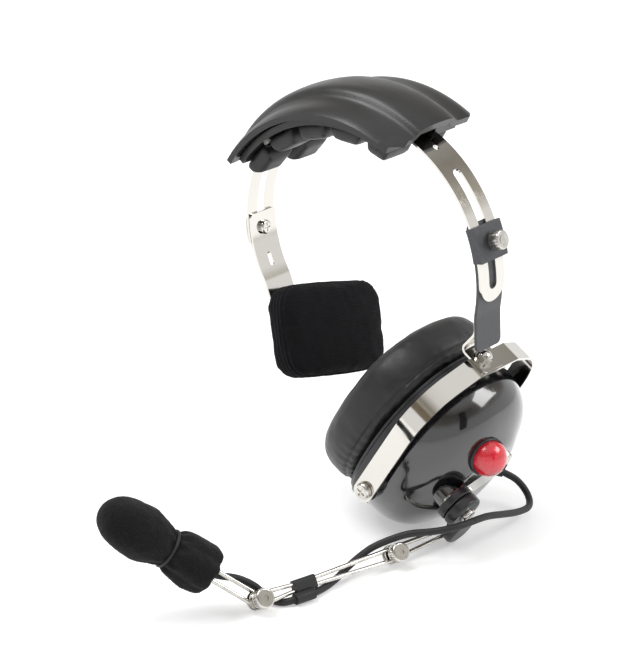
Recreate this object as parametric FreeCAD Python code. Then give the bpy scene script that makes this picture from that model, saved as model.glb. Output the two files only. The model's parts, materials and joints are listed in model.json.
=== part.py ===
import FreeCAD, Part
import math
import os

# One-sided headset, lying as it stands on a table: cup and boom on the plate, band upright over them.
# Drawing frame in millimetres: X towards the ear cup, Y towards the back of the head, Z up.
# The drawing is made about a point inside the head space and moved onto the plate at the end.

os.makedirs("parts", exist_ok=True)

V = FreeCAD.Vector
Placement = FreeCAD.Placement
Rotation = FreeCAD.Rotation
NONE = Placement()

TO_PLATE = V(-2.532, 65.675, 156.7)

parts = {}


# Helpers

def frame(origin, x_axis, z_axis):
    """A placement at origin with its x and z along the two directions."""
    z = V(z_axis)
    z.normalize()
    x = V(x_axis) - z * V(x_axis).dot(z)
    x.normalize()
    return Placement(V(origin), Rotation(x, z.cross(x), z, "ZXY"))


def put(shape, where):
    """A copy of the shape carried into a placement."""
    moved = shape.copy()
    moved.Placement = where.multiply(moved.Placement)
    return moved


def save(name, shape, where=NONE):
    """Keep one node; a list of solids stays a group of separate solids."""
    if isinstance(shape, (list, tuple)):
        shape = Part.makeCompound(list(shape))
    parts[name] = put(shape, where)


def box(x0, x1, y0, y1, z0, z1):
    return Part.makeBox(x1 - x0, y1 - y0, z1 - z0, V(x0, y0, z0))


def rod(radius, start, end):
    start = V(start)
    along = V(end) - start
    return Part.makeCylinder(radius, along.Length, start, along)


def tube(outer, inner, start, end):
    return rod(outer, start, end).cut(rod(inner, start, end))


def union(first, *others):
    whole = first
    for other in others:
        whole = whole.fuse(other)
    return whole.removeSplitter()


def minus(first, *tools):
    left = first
    for tool in tools:
        left = left.cut(tool)
    return left


def turned(points, axis_start, axis):
    """A solid of revolution from a closed outline of points."""
    outline = Part.makePolygon([V(*p) for p in points] + [V(*points[0])])
    return Part.Face(outline).revolve(V(*axis_start), V(*axis), 360)


def rounded(shape, radius, wanted):
    """Round the edges that the test picks; leave the shape as it was if the kernel can't."""
    edges = [e for e in shape.Edges if wanted(e)]
    if not edges:
        return shape
    try:
        made = shape.makeFillet(radius, edges)
        if made.isValid() and made.Volume > 0:
            return made
    except Exception:
        pass
    return shape


def sector(centre, inner, outer, start, end, half_width):
    """Part of a ring about a Y axis, between two angles seen from the front."""
    def at(radius, angle):
        a = math.radians(angle)
        return V(centre[0] + radius * math.cos(a), -half_width, centre[1] + radius * math.sin(a))

    middle = (start + end) / 2.0
    low = Part.Arc(at(inner, start), at(inner, middle), at(inner, end)).toShape()
    high = Part.Arc(at(outer, start), at(outer, middle), at(outer, end)).toShape()
    ends = [Part.makeLine(at(inner, a), at(outer, a)) for a in (start, end)]
    outline = Part.Wire(Part.sortEdges([low, high] + ends)[0])
    return Part.Face(outline).extrude(V(0, 2 * half_width, 0))


def on_ring(centre, radius, angle, y=0.0):
    a = math.radians(angle)
    return V(centre[0] + radius * math.cos(a), y, centre[1] + radius * math.sin(a))


def radial(angle):
    a = math.radians(angle)
    return V(math.cos(a), 0, math.sin(a))


def strip(start, heading, moves, low, high, half_width):
    """A bent strip. The path runs in the XZ plane; each move is (length, 0) or (radius, turn)."""
    def at(x, z, h, off):
        return V(x - off * math.sin(h), -half_width, z + off * math.cos(h))

    x, z = start
    h = math.radians(heading)
    sides = {low: [], high: []}
    first = [at(x, z, h, low), at(x, z, h, high)]
    for size, turn in moves:
        if turn:
            t = math.radians(turn)
            s = 1 if t > 0 else -1
            cx = x - s * size * math.sin(h)
            cz = z + s * size * math.cos(h)
            stops = []
            for hh in (h, h + t / 2.0, h + t):
                stops.append((cx + s * size * math.sin(hh), cz - s * size * math.cos(hh), hh))
            for off in sides:
                sides[off].append(Part.Arc(*[at(a, b, c, off) for a, b, c in stops]).toShape())
            x, z, h = stops[-1]
        else:
            nx = x + size * math.cos(h)
            nz = z + size * math.sin(h)
            for off in sides:
                sides[off].append(Part.makeLine(at(x, z, h, off), at(nx, nz, h, off)))
            x, z = nx, nz
    last = [at(x, z, h, low), at(x, z, h, high)]
    edges = sides[low] + sides[high] + [Part.makeLine(*first), Part.makeLine(*last)]
    outline = Part.Wire(Part.sortEdges(edges)[0])
    return Part.Face(outline).extrude(V(0, 2 * half_width, 0))


def path_end(start, heading, moves):
    """Where a strip's path ends, and its heading there."""
    x, z = start
    h = math.radians(heading)
    for size, turn in moves:
        if turn:
            t = math.radians(turn)
            s = 1 if t > 0 else -1
            x, z = x - s * size * (math.sin(h) - math.sin(h + t)), z + s * size * (math.cos(h) - math.cos(h + t))
            h += t
        else:
            x, z = x + size * math.cos(h), z + size * math.sin(h)
    return x, z, math.degrees(h)


def bent_path(corners, radii, closed=False):
    """Straight runs between corners, joined by tangent arcs; radii has one entry for each corner that turns."""
    points = [V(p) for p in corners]
    count = len(points)
    inner = range(count) if closed else range(1, count - 1)
    bends = {}
    for i, radius in zip(inner, radii):
        here = points[i]
        to_last = (points[i - 1] - here).normalize()
        to_next = (points[(i + 1) % count] - here).normalize()
        turn = math.pi - to_last.getAngle(to_next)
        reach = radius * math.tan(turn / 2)
        middle = (to_last + to_next).normalize()
        centre = here + middle * (radius / math.cos(turn / 2))
        bends[i] = (here + to_last * reach, centre - middle * radius, here + to_next * reach)
    edges = []
    for i in range(count if closed else count - 1):
        j = (i + 1) % count
        start = bends[i][2] if i in bends else points[i]
        end = bends[j][0] if j in bends else points[j]
        if start.distanceToPoint(end) > 0.001:
            edges.append(Part.LineSegment(start, end).toShape())
        if j in bends:
            edges.append(Part.Arc(*bends[j]).toShape())
    return edges


def bar(edges, radius):
    """A round bar along lines and arcs that meet in a row."""
    path = Part.Wire(edges)
    first = edges[0]
    start = first.valueAt(first.FirstParameter)
    ring = Part.Wire([Part.makeCircle(radius, start, first.tangentAt(first.FirstParameter))])
    return path.makePipeShell([ring], True, False)


def cord(name, points, radius):
    """A cord's stretch along its route; each arc is as large as the two runs beside it allow."""
    radii = []
    for before, here, after in zip(points[:-2], points[1:-1], points[2:]):
        turn = (here - before).getAngle(after - here)
        shorter = min((here - before).Length, (after - here).Length)
        radii.append(0.45 * shorter / math.tan(turn / 2))
    edges = bent_path(points, radii)
    shape = bar(edges, radius)
    length = sum(e.Length for e in edges)
    print(name, "length %.1f" % length, "radii", " ".join("%.0f" % r for r in radii),
          "volume / section %.4f" % (shape.Volume / (math.pi * radius ** 2 * length)))
    return shape


def hexagon(across, start, end):
    """A hex prism between two points."""
    start = V(start)
    along = V(end) - start
    where = frame(start, V(0.3, 0.5, 0.8), along)
    radius = across / math.sqrt(3)
    corners = []
    for i in range(7):
        a = math.radians(60 * i)
        corners.append(V(radius * math.cos(a), radius * math.sin(a), 0))
    return put(Part.Face(Part.makePolygon(corners)).extrude(V(0, 0, along.Length)), where)


def pan_screw(head, head_height, shank, length):
    """A pan head screw: the head's seat at z = 0, the head upwards, the shank downwards."""
    top = Part.makeCylinder(head, head_height)
    top = rounded(top, head_height * 0.6, lambda e: abs(e.CenterOfMass.z - head_height) < 0.01)
    slot = box(-head - 1, head + 1, -0.45, 0.45, head_height - 0.7, head_height + 1)
    cross = box(-0.45, 0.45, -head * 0.6, head * 0.6, head_height - 0.7, head_height + 1)
    return minus(union(top, Part.makeCylinder(shank, length, V(0, 0, -length))), slot.common(
        Part.makeCylinder(head * 0.6, head_height + 1)), cross)


def thumb_nut(radius, height, bore, ribs=20):
    """A knurled nut standing on z = 0."""
    body = Part.makeCylinder(radius, height)
    body = rounded(body, 0.8, lambda e: e.CenterOfMass.z > height - 0.1)
    neck = Part.makeCylinder(radius * 0.72, 1.2)
    body = union(neck, body.common(Part.makeCylinder(radius + 1, height, V(0, 0, 1.2))))
    cuts = []
    for i in range(ribs):
        a = 2 * math.pi * i / ribs
        cuts.append(Part.makeCylinder(0.42, height, V(radius * math.cos(a), radius * math.sin(a), 1.2)))
    body = body.cut(Part.makeCompound(cuts))
    return body.cut(Part.makeCylinder(bore, height + 2, V(0, 0, -1)))


# Headband: a chrome spring strip with a slot in each leg

BAND = (-6.0, -17.0)
BAND_R = 77.5
LEFT_R = 66.0
JOIN_ANGLE = 134.0
# The two arcs share a tangent where they join, so the left one's centre follows from both radii.
join_turn = math.radians(JOIN_ANGLE)
LEFT = (BAND[0] + (BAND_R - LEFT_R) * math.cos(join_turn), BAND[1] + (BAND_R - LEFT_R) * math.sin(join_turn))
RIGHT_END = -4.0
LEFT_END = 201.0
STRIP_HALF = 10.0
STRIP_T = 1.2
SLOT_HALF = 3.0


def band_slot(centre, radius, start, end):
    """Cutter for a slot with round ends that follows the strip."""
    cut = sector(centre, radius - 3, radius + 3, start, end, SLOT_HALF)
    for angle in (start, end):
        cut = cut.fuse(rod(SLOT_HALF, on_ring(centre, radius - 3, angle), on_ring(centre, radius + 3, angle)))
    return cut


half = STRIP_T / 2
ten = math.degrees(STRIP_HALF / BAND_R)
ten_left = math.degrees(STRIP_HALF / LEFT_R)
right = sector(BAND, BAND_R - half, BAND_R + half, RIGHT_END + ten, JOIN_ANGLE, STRIP_HALF)
left = sector(LEFT, LEFT_R - half, LEFT_R + half, JOIN_ANGLE, LEFT_END - ten_left, STRIP_HALF)
right_tip = sector(BAND, BAND_R - half, BAND_R + half, RIGHT_END - 1, RIGHT_END + ten + 0.5, STRIP_HALF)
right_tip = right_tip.common(rod(STRIP_HALF, on_ring(BAND, BAND_R - 6, RIGHT_END + ten),
                                 on_ring(BAND, BAND_R + 6, RIGHT_END + ten)))
left_tip = sector(LEFT, LEFT_R - half, LEFT_R + half, LEFT_END - ten_left - 0.5, LEFT_END + 1, STRIP_HALF)
left_tip = left_tip.common(rod(STRIP_HALF, on_ring(LEFT, LEFT_R - 6, LEFT_END - ten_left),
                               on_ring(LEFT, LEFT_R + 6, LEFT_END - ten_left)))
band = union(right, left, right_tip, left_tip)
PUNCH_ANGLE = 58.0
punch = rod(1.6, on_ring(BAND, BAND_R - 3, PUNCH_ANGLE), on_ring(BAND, BAND_R + 3, PUNCH_ANGLE))
band = minus(band, band_slot(BAND, BAND_R, 3.0, 45.0), band_slot(LEFT, LEFT_R, 152.0, 197.0), punch)

# Crown pad: cover with a raised channel over the band, a filler moulding under it and two rows of soft blocks

COVER_START = 59.5
COVER_END = 147.0
COVER_SHIFT = V(-1.9, 0, 2.9)
COVER_Y = 33.0
FRONT_SECTION = [(-33, 78.0), (-29, 80.0), (-24, 81.3), (-19, 82.3), (-16, 83.6), (-14, 86.0), (-11, 87.6)]
REAR_SECTION = [(11, 87.9), (14, 86.9), (16, 85.2), (19, 84.4), (24, 84.2), (29, 84.0), (33, 82.6)]
OUTER_SECTION = FRONT_SECTION + [(-6, 88.4), (0, 88.7), (6, 88.5)] + REAR_SECTION
CHANNEL_HALF = 11.6
CHANNEL_TOP = 85.6
BASE_HALF = 28.5
BASE_IN = 74.6
BLOCK_IN = 65.6
# The crown's radii are drawn for this radius of the band and move with it.
DRAWN_R = 77.5
GROW = BAND_R - DRAWN_R


def ring_solid(outline, start, end):
    """Turn an outline drawn as (y, radius) about the band's axis between two angles."""
    points = [V(BAND[0] + r + GROW, y, BAND[1]) for y, r in outline]
    face = Part.Face(Part.makePolygon(points + [points[0]]))
    face.rotate(V(BAND[0], 0, BAND[1]), V(0, 1, 0), -start)
    return face.revolve(V(BAND[0], 0, BAND[1]), V(0, -1, 0), end - start)


def ring_from_curve(top, bottom, start, end):
    """Turn the area between a smooth upper curve and a list of lower points."""
    upper = Part.BSplineCurve()
    upper.interpolate([V(BAND[0] + r + GROW, y, BAND[1]) for y, r in top])
    low = [V(BAND[0] + r + GROW, y, BAND[1]) for y, r in bottom]
    upper_edge = upper.toShape()
    lower_edges = [Part.makeLine(a, b) for a, b in zip(low[:-1], low[1:])]
    joins = [Part.makeLine(upper.value(upper.FirstParameter), low[0]),
             Part.makeLine(upper.value(upper.LastParameter), low[-1])]
    outline = Part.Wire(Part.sortEdges([upper_edge] + lower_edges + joins)[0])
    face = Part.Face(outline)
    face.rotate(V(BAND[0], 0, BAND[1]), V(0, 1, 0), -start)
    return face.revolve(V(BAND[0], 0, BAND[1]), V(0, -1, 0), end - start)


cover_under = [(-COVER_Y, 75.0), (COVER_Y, 79.0)]
whole_cover = ring_from_curve(OUTER_SECTION, cover_under, COVER_START, COVER_END)
# The outside stands a little up and to the left of the band's own circle, which makes the skin thicker there.
whole_cover.translate(COVER_SHIFT)
FRONT_INSIDE = [(-BASE_HALF, 78.0), (-24, 79.1), (-19, 80.1), (-15.4, 81.2), (-13.4, 83.4), (-12.4, 84.8)]
REAR_INSIDE = [(12.4, 84.9), (13.6, 83.8), (15.4, 82.9), (19, 82.1), (24, 81.9), (BASE_HALF, 81.7)]
hollow = ring_solid([(-30.6, 77.2)] + FRONT_INSIDE + [(-CHANNEL_HALF, CHANNEL_TOP), (0, CHANNEL_TOP + 0.6),
                     (CHANNEL_HALF, CHANNEL_TOP)] + REAR_INSIDE + [(30.6, 81.4), (30.6, 70.0), (-30.6, 70.0)],
                    COVER_START - 5, COVER_END + 5)
cover = whole_cover.cut(hollow)


def corner_cut(y_side, angle, reach, size):
    """Tool that sweeps one end of a brim back."""
    inward = 1 if angle == COVER_START else -1
    wires = []
    for r in (60.0, 100.0):
        tip = on_ring(BAND, r, angle - 3 * inward, y_side * (COVER_Y - size))
        outer = on_ring(BAND, r, angle - 3 * inward, y_side * (COVER_Y + 2))
        side = on_ring(BAND, r, angle + inward * reach, y_side * (COVER_Y + 2))
        wires.append(Part.makePolygon([tip, outer, side, tip]))
    return Part.makeLoft(wires, True, True)


# The ends of the brims are swept back, the front one least on the left.
corner_cuts = [corner_cut(-1, COVER_START, 9.0, 24.0), corner_cut(1, COVER_START, 5.0, 16.0),
               corner_cut(1, COVER_END, 9.0, 26.0)]
cover = minus(cover, *corner_cuts)

filler_outline = ([(-BASE_HALF, BASE_IN)] + FRONT_INSIDE +
                  [(-CHANNEL_HALF, CHANNEL_TOP), (-10.3, CHANNEL_TOP - 1.5), (-10.3, 76.9),
                   (10.3, 76.9), (10.3, CHANNEL_TOP - 1.5), (CHANNEL_HALF, CHANNEL_TOP)] +
                  REAR_INSIDE + [(BASE_HALF, BASE_IN)])
FILLER_START, FILLER_END = 65.0, 144.0
filler = ring_solid(filler_outline, FILLER_START, FILLER_END)
filler = minus(filler, *corner_cuts)
# The left shoulder of the band bends in a little from the pad's own circle, so the filler is relieved for it.
RELIEF_DEPTH = 0.2
relief = sector(LEFT, LEFT_R - half - RELIEF_DEPTH, LEFT_R + half + 0.5, JOIN_ANGLE - 3, FILLER_END + 5, STRIP_HALF + 0.3)
filler = filler.cut(relief)

# Two rows of blocks, one on each side of the band; the first of a row is shorter along the arc.
BLOCK_SPANS = [(71.0, 5.4), (87.5, 7.2), (105.0, 7.2), (122.5, 7.2), (139.5, 7.2)]
BLOCK_LEVELS = [(BASE_IN, 1.0, 3.5, 25.0), (70.0, 1.0, 3.5, 25.0), (67.4, 0.9, 4.6, 23.8),
                (BLOCK_IN, 0.68, 7.4, 21.0)]


def crown_block(angle, full_span, row):
    """One block under the filler, drawn in towards its face; row is -1 in front of the band and 1 behind it."""
    wires = []
    for r, share, y_near, y_far in BLOCK_LEVELS:
        span = full_span * share
        reach = r / math.cos(math.radians(span)) if r == BASE_IN else r
        corners = [(-span, y_near), (span, y_near), (span, y_far), (-span, y_far)]
        ring = [on_ring(BAND, reach + GROW, angle + turn, row * y) for turn, y in corners]
        wires.append(Part.makePolygon(ring + [ring[0]]))
    block = Part.makeLoft(wires, True, True)
    return block.cut(sector(BAND, BASE_IN + GROW, BASE_IN + GROW + 20, angle - 20, angle + 20, 40))


blocks = [crown_block(angle, span, row) for row in (-1, 1) for angle, span in BLOCK_SPANS]

RIVET_SPOTS = [(78.5, -20.5), (78.5, 20.5), (131.0, -20.5), (131.0, 20.5)]
rivets = []
for angle, y in RIVET_SPOTS:
    base = BASE_IN + GROW
    head = rod(3.4, on_ring(BAND, base - 1.1, angle, y), on_ring(BAND, base + 0.9, angle, y))
    shank = rod(1.6, on_ring(BAND, base, angle, y), on_ring(BAND, base + 6.0, angle, y))
    rivets.append(union(head, shank))
rivet_tools = Part.makeCompound(rivets)
filler = filler.cut(rivet_tools)
cover = cover.cut(rivet_tools)
blocks = [b.cut(rivet_tools) for b in blocks]

save("headband_strip", band)
save("crown_cover", cover)
save("crown_filler", filler)
save("crown_blocks", blocks)
save("crown_rivets", rivets)

# Left side: the temple arm slides along the inside of the strip, held by a screw and an outer block

ARM_T = 1.2
ARM_R = LEFT_R - STRIP_T / 2 - ARM_T / 2 - 0.1
ARM_HALF = 9.8
SCREW_ANGLE = 187.8
HEAD_CLEAR = 0.16
arm_start = (LEFT[0] - ARM_R, LEFT[1])
arm_moves = [(ARM_R, 32.0), (12.0, -11.0), (37.0, 0)]
arm = strip(arm_start, 270.0, arm_moves, -ARM_T / 2, ARM_T / 2, ARM_HALF)
arm = rounded(arm, 2.5, lambda e: e.Length < 1.3 and abs(abs(e.CenterOfMass.y) - ARM_HALF) < 0.01)
screw_out = radial(SCREW_ANGLE)
screw_seat = on_ring(LEFT, ARM_R - ARM_T / 2 - HEAD_CLEAR, SCREW_ANGLE)
ARM_INSIDE, ARM_OUTSIDE = ARM_R - 5.0, ARM_R + 5.0
arm = arm.cut(rod(2.2, on_ring(LEFT, ARM_INSIDE, SCREW_ANGLE), on_ring(LEFT, ARM_OUTSIDE, SCREW_ANGLE)))
tab_angle = 203.0
tab = rod(1.5, on_ring(LEFT, ARM_INSIDE, tab_angle - 1.6), on_ring(LEFT, ARM_OUTSIDE, tab_angle - 1.6))
tab = tab.fuse(rod(1.5, on_ring(LEFT, ARM_INSIDE, tab_angle + 2.6), on_ring(LEFT, ARM_OUTSIDE, tab_angle + 2.6)))
tab = tab.fuse(sector(LEFT, ARM_INSIDE, ARM_OUTSIDE, tab_angle - 1.6, tab_angle + 2.6, 1.5))
arm = arm.cut(tab)

GUIDE_SPAN = 5.6
guide = sector(LEFT, LEFT_R + 0.75, LEFT_R + 1.9, SCREW_ANGLE - GUIDE_SPAN, SCREW_ANGLE + GUIDE_SPAN, ARM_HALF)
screw = put(pan_screw(3.9, 2.3, 2.2, 4.6), frame(screw_seat, V(0, 1, 0), screw_out * -1))
guide = guide.cut(rod(2.2, on_ring(LEFT, ARM_INSIDE, SCREW_ANGLE), on_ring(LEFT, ARM_OUTSIDE, SCREW_ANGLE)))

save("temple_arm", arm)
save("temple_clamp_block", guide)
save("temple_clamp_screw", screw)

# Temple pad: backing plate on a swivel rivet at the arm's foot, foam cushion in a knit cover

foot_x, foot_z, foot_h = path_end(arm_start, 270.0, arm_moves[:2] + [(31.5, 0)])
PAD_LEAN = 21.0
pad_normal = V(math.cos(math.radians(PAD_LEAN)), 0, math.sin(math.radians(PAD_LEAN)))
arm_mid = V(foot_x, 0, foot_z)
pad_origin = arm_mid + pad_normal * (ARM_T / 2)
PAD_ROLL = -13.0
pad_frame = frame(pad_origin, V(0, 1, 0), pad_normal)
pad_frame = pad_frame.multiply(Placement(V(0, 0, 0), Rotation(V(0, 0, 1), PAD_ROLL)))
# In the pad's frame: x to the back of the head, y up the arm, z towards the head.
PLATE_Z = 0.3
PLATE_T = 2.0
PAD_BACK = PLATE_Z + PLATE_T
PAD_FACE = 20.8
PAD_HALF_X = 38.5
PAD_HALF_Y = 25.7
PAD_SHIFT_X = 14.5
CROWN_R = 320.0
PAD_SHIFT_Y = 1.8

pin_head = Part.makeCylinder(4.2, 1.3, V(0, 0, -ARM_T - 1.3))
pin_head = rounded(pin_head, 0.7, lambda e: e.CenterOfMass.z < -ARM_T - 1.2)
pin_shank = Part.makeCylinder(2.2, ARM_T + PAD_BACK + 0.5, V(0, 0, -ARM_T))
pin_tail = Part.makeCylinder(3.6, 1.0, V(0, 0, PAD_BACK + 0.1))
pad_pin = union(pin_head, pin_shank, pin_tail)
arm_hole = put(Part.makeCylinder(2.2, 8, V(0, 0, -4)), pad_frame)
parts["temple_arm"] = parts["temple_arm"].cut(arm_hole)

plate = box(-27 + PAD_SHIFT_X, 27 + PAD_SHIFT_X, -18 + PAD_SHIFT_Y, 18 + PAD_SHIFT_Y, PLATE_Z, PAD_BACK)
plate = rounded(plate, 6.0, lambda e: abs(e.Length - PLATE_T) < 0.01)
plate = plate.cut(Part.makeCylinder(2.27, 10, V(0, 0, -3)))


def pad_block(half_x, half_y, z0, z1, corner, face_round, back_round):
    """A cushion with round corners and a crowned face, drawn in at its back."""
    block = box(-half_x, half_x, -half_y, half_y, z0, z1)
    block = rounded(block, corner, lambda e: abs(e.Length - (z1 - z0)) < 0.01)
    block = block.common(Part.makeSphere(CROWN_R, V(0, 0, z1 - CROWN_R)))
    middle = (z0 + z1) / 2
    block = rounded(block, face_round, lambda e: e.CenterOfMass.z > middle and e.BoundBox.ZMin > middle)
    return rounded(block, back_round, lambda e: abs(e.CenterOfMass.z - z0) < 0.01)


cushion = pad_block(PAD_HALF_X, PAD_HALF_Y, PAD_BACK, PAD_FACE, 14.0, 4.5, 2.5)
cushion.translate(V(PAD_SHIFT_X, PAD_SHIFT_Y, 0))
cushion = cushion.cut(Part.makeCylinder(3.9, 1.4, V(0, 0, PAD_BACK)))
save("temple_pad_pin", pad_pin, pad_frame)
save("temple_pad_plate", plate, pad_frame)
save("temple_cushion", cushion, pad_frame)

# Right side: the black hanger slides along the inside of the strip under a clamp; its bracket holds the stirrup

HANGER_T = 1.5
HANGER_R = BAND_R - STRIP_T / 2 - HANGER_T / 2 - 0.15
BRACKET_T = 1.2
BRACKET_R = HANGER_R - HANGER_T / 2 - BRACKET_T / 2
BRACKET_HALF = 8.6
BRACKET_TOP = -4.0
CLAMP_ANGLE = 18.5
CLAMP_SPAN = 6.5
CLAMP_HALF = 10.7
HANGER_TOP = 26.5
HANGER_LOW = -8.0
OUT_TURN = 11.0
CUP_C = V(28.8, 4.0, -122.4)
CUP_LEAN = 32.0
CUP = Placement(CUP_C, Rotation(V(0, 1, 0), CUP_LEAN))
CUP_OUT = CUP.Rotation.multVec(V(1, 0, 0))
CUP_UP = CUP.Rotation.multVec(V(0, 0, 1))
STIRRUP_TOP = 77.5
STIRRUP_T = 1.5
SWIVEL_X = -2.5
SWIVEL_Y = -5.5

# The foot is first drawn lying on the stirrup, then the bracket's path is bent to meet it.
FOOT_T = BRACKET_T
FOOT_IN = -9.5
FOOT_OUT = 5.0
foot_level = STIRRUP_TOP + STIRRUP_T / 2 + 0.15 + FOOT_T / 2
foot_a = CUP.multVec(V(FOOT_IN, SWIVEL_Y, foot_level))
foot_b = CUP.multVec(V(FOOT_OUT, SWIVEL_Y, foot_level))
top_point = on_ring(BAND, BRACKET_R, BRACKET_TOP)
bracket_moves = [(BRACKET_R, -(BRACKET_TOP - HANGER_LOW)), (20.0, OUT_TURN), (5.0, 0)]
x1, z1, h1 = path_end((top_point.x, top_point.z), BRACKET_TOP - 90.0, bracket_moves)
FOOT_HEADING = -CUP_LEAN
lean_heading = math.degrees(math.atan2(foot_a.z - z1, foot_a.x - x1))


def lean_for(heading):
    """End of the sloping part for a given slope, with its two bends."""
    turn_a = heading - h1
    turn_b = FOOT_HEADING - heading
    r_a, r_b = 6.0, 3.0
    ax, az, _ = path_end((x1, z1), h1, [(r_a, turn_a)])
    bx, bz, _ = path_end((0, 0), heading, [(r_b, turn_b)])
    return ax, az, bx, bz, turn_a, turn_b, r_a, r_b


# Both bends use up some length, so the slope is found by halving the angle between two guesses.
low_h, high_h = lean_heading - 25.0, lean_heading + 15.0
for _ in range(60):
    heading = (low_h + high_h) / 2.0
    ax, az, bx, bz, turn_a, turn_b, r_a, r_b = lean_for(heading)
    gap = V(foot_a.x - bx - ax, 0, foot_a.z - bz - az)
    side = gap.x * math.sin(math.radians(heading)) - gap.z * math.cos(math.radians(heading))
    if side > 0:
        high_h = heading
    else:
        low_h = heading
lean_length = gap.x * math.cos(math.radians(heading)) + gap.z * math.sin(math.radians(heading))
foot_length = (foot_b - foot_a).Length
bracket_moves = bracket_moves + [(r_a, turn_a), (lean_length, 0), (r_b, turn_b), (foot_length, 0)]
foot_bracket = strip((top_point.x, top_point.z), BRACKET_TOP - 90.0, bracket_moves,
                     -BRACKET_T / 2, BRACKET_T / 2, BRACKET_HALF)
foot_bracket = rounded(foot_bracket, 2.5,
                       lambda e: e.Length < BRACKET_T + 0.1 and abs(abs(e.CenterOfMass.y) - BRACKET_HALF) < 0.01)

hanger_top = on_ring(BAND, HANGER_R, HANGER_TOP)
out_r = 20.0 - (HANGER_R - BRACKET_R)
hanger_moves = [(HANGER_R, -(HANGER_TOP - HANGER_LOW)), (out_r, OUT_TURN), (16.5, 0)]
hanger = strip((hanger_top.x, hanger_top.z), HANGER_TOP - 90.0, hanger_moves, -HANGER_T / 2, HANGER_T / 2, STRIP_HALF)
hanger = rounded(hanger, 3.0, lambda e: e.Length < HANGER_T + 0.1 and abs(abs(e.CenterOfMass.y) - STRIP_HALF) < 0.01)

CLAMP_LOW, CLAMP_HIGH = CLAMP_ANGLE - CLAMP_SPAN, CLAMP_ANGLE + CLAMP_SPAN
clamp = sector(BAND, BAND_R + 0.75, BAND_R + 3.2, CLAMP_LOW, CLAMP_HIGH, CLAMP_HALF)
for side in (-1, 1):
    lip = sector(BAND, HANGER_R - HANGER_T / 2, BAND_R + 1.0, CLAMP_LOW, CLAMP_HIGH, 0.25)
    lip.translate(V(0, side * (CLAMP_HALF - 0.25), 0))
    clamp = clamp.fuse(lip)
clamp = clamp.removeSplitter()
clamp_axis = radial(CLAMP_ANGLE)
clamp_hole = rod(2.4, on_ring(BAND, 68, CLAMP_ANGLE), on_ring(BAND, 90, CLAMP_ANGLE))
hanger = hanger.cut(clamp_hole)
clamp = clamp.cut(clamp_hole)
clamp_seat = on_ring(BAND, HANGER_R - HANGER_T / 2 - HEAD_CLEAR, CLAMP_ANGLE)
clamp_screw = put(pan_screw(4.4, 1.6, 2.4, 13.0), frame(clamp_seat, V(0, 1, 0), clamp_axis * -1))
nut_seat = on_ring(BAND, BAND_R + 3.35, CLAMP_ANGLE)
nut = put(thumb_nut(4.9, 7.0, 2.46), frame(nut_seat, V(0, 1, 0), clamp_axis))

sole = foot_level - FOOT_T / 2
crown = foot_level + FOOT_T / 2
swivel_frame = CUP.multiply(Placement(V(SWIVEL_X, SWIVEL_Y, 0), Rotation()))
UNDER = STIRRUP_TOP - STIRRUP_T / 2
pin = Part.makeCylinder(2.4, crown + 3.0 - UNDER + 0.15, V(0, 0, UNDER - 0.15))
pin = pin.fuse(Part.makeCylinder(4.6, 1.6, V(0, 0, UNDER - 1.75)))
pin = rounded(pin.removeSplitter(), 0.5, lambda e: e.CenterOfMass.z < UNDER - 1.7)
swivel_hole = put(Part.makeCylinder(2.4, 20, V(0, 0, sole - 5)), swivel_frame)
foot_bracket = foot_bracket.cut(swivel_hole)
ring_washer = Part.makeCylinder(5.2, 0.9, V(0, 0, crown)).cut(Part.makeCylinder(2.4, 4, V(0, 0, crown - 1)))
cap_nut = hexagon(7.4, V(0, 0, crown + 0.9), V(0, 0, crown + 3.2))
cap_dome = Part.makeSphere(4.4, V(0, 0, crown + 0.4)).common(Part.makeCylinder(3.6, 9, V(0, 0, crown + 3.0)))
cap_nut = union(cap_nut, cap_dome).cut(Part.makeCylinder(2.4, crown + 3.0 - UNDER + 2, V(0, 0, UNDER - 2)))

save("hanger_strip", hanger)
save("hanger_bracket", foot_bracket)
save("hanger_clamp_block", clamp)
save("hanger_clamp_screw", clamp_screw)
save("hanger_thumb_nut", nut)
save("swivel_pin", pin, swivel_frame)
save("swivel_nut", [ring_washer, cap_nut], swivel_frame)

# Stirrup: a chrome strip bent to a U; drawn with X to the back and Z up, then turned onto the cup's frame

ARM_Y = 48.8
STIRRUP_HALF = 5.7
STIRRUP_SHIFT = -0.3
corner_r = 32.0
corner_turn = 68.0
fold_r = 3.0


def half_stirrup_moves():
    rise = 42.6 + 7.5
    return [(rise, 0), (corner_r, -corner_turn), (13.0, 0), (fold_r, -(90 - corner_turn))]


ex, ez, eh = path_end((-ARM_Y, -7.5), 90.0, half_stirrup_moves())
# The straight arm is lengthened until the path arrives at the top plate's level.
lift = STIRRUP_TOP - ez
moves = half_stirrup_moves()
moves[0] = (moves[0][0] + lift, 0)
ex, ez, eh = path_end((-ARM_Y, -7.5), 90.0, moves)
full = moves + [(-2 * ex, 0)] + list(reversed(moves))
stirrup = strip((-ARM_Y, -7.5), 90.0, full, -STIRRUP_T / 2, STIRRUP_T / 2, STIRRUP_HALF)
stirrup = rounded(stirrup, 5.4, lambda e: e.Length < STIRRUP_T + 0.1 and e.CenterOfMass.z < -7.4)
stirrup = put(stirrup, frame(V(STIRRUP_SHIFT, 0, 0), V(0, 1, 0), V(0, 0, 1)))
PIVOT_R = 2.0
stirrup = stirrup.cut(rod(PIVOT_R + 0.06, V(0, -60, 0), V(0, 60, 0)))
stirrup = stirrup.cut(rod(2.46, V(SWIVEL_X, SWIVEL_Y, 70), V(SWIVEL_X, SWIVEL_Y, 85)))
save("stirrup", stirrup, CUP)

# Ear cup, drawn in its own frame: x outwards from the head, z up the cup, origin between the two pivots

RISE = 17.0


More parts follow.
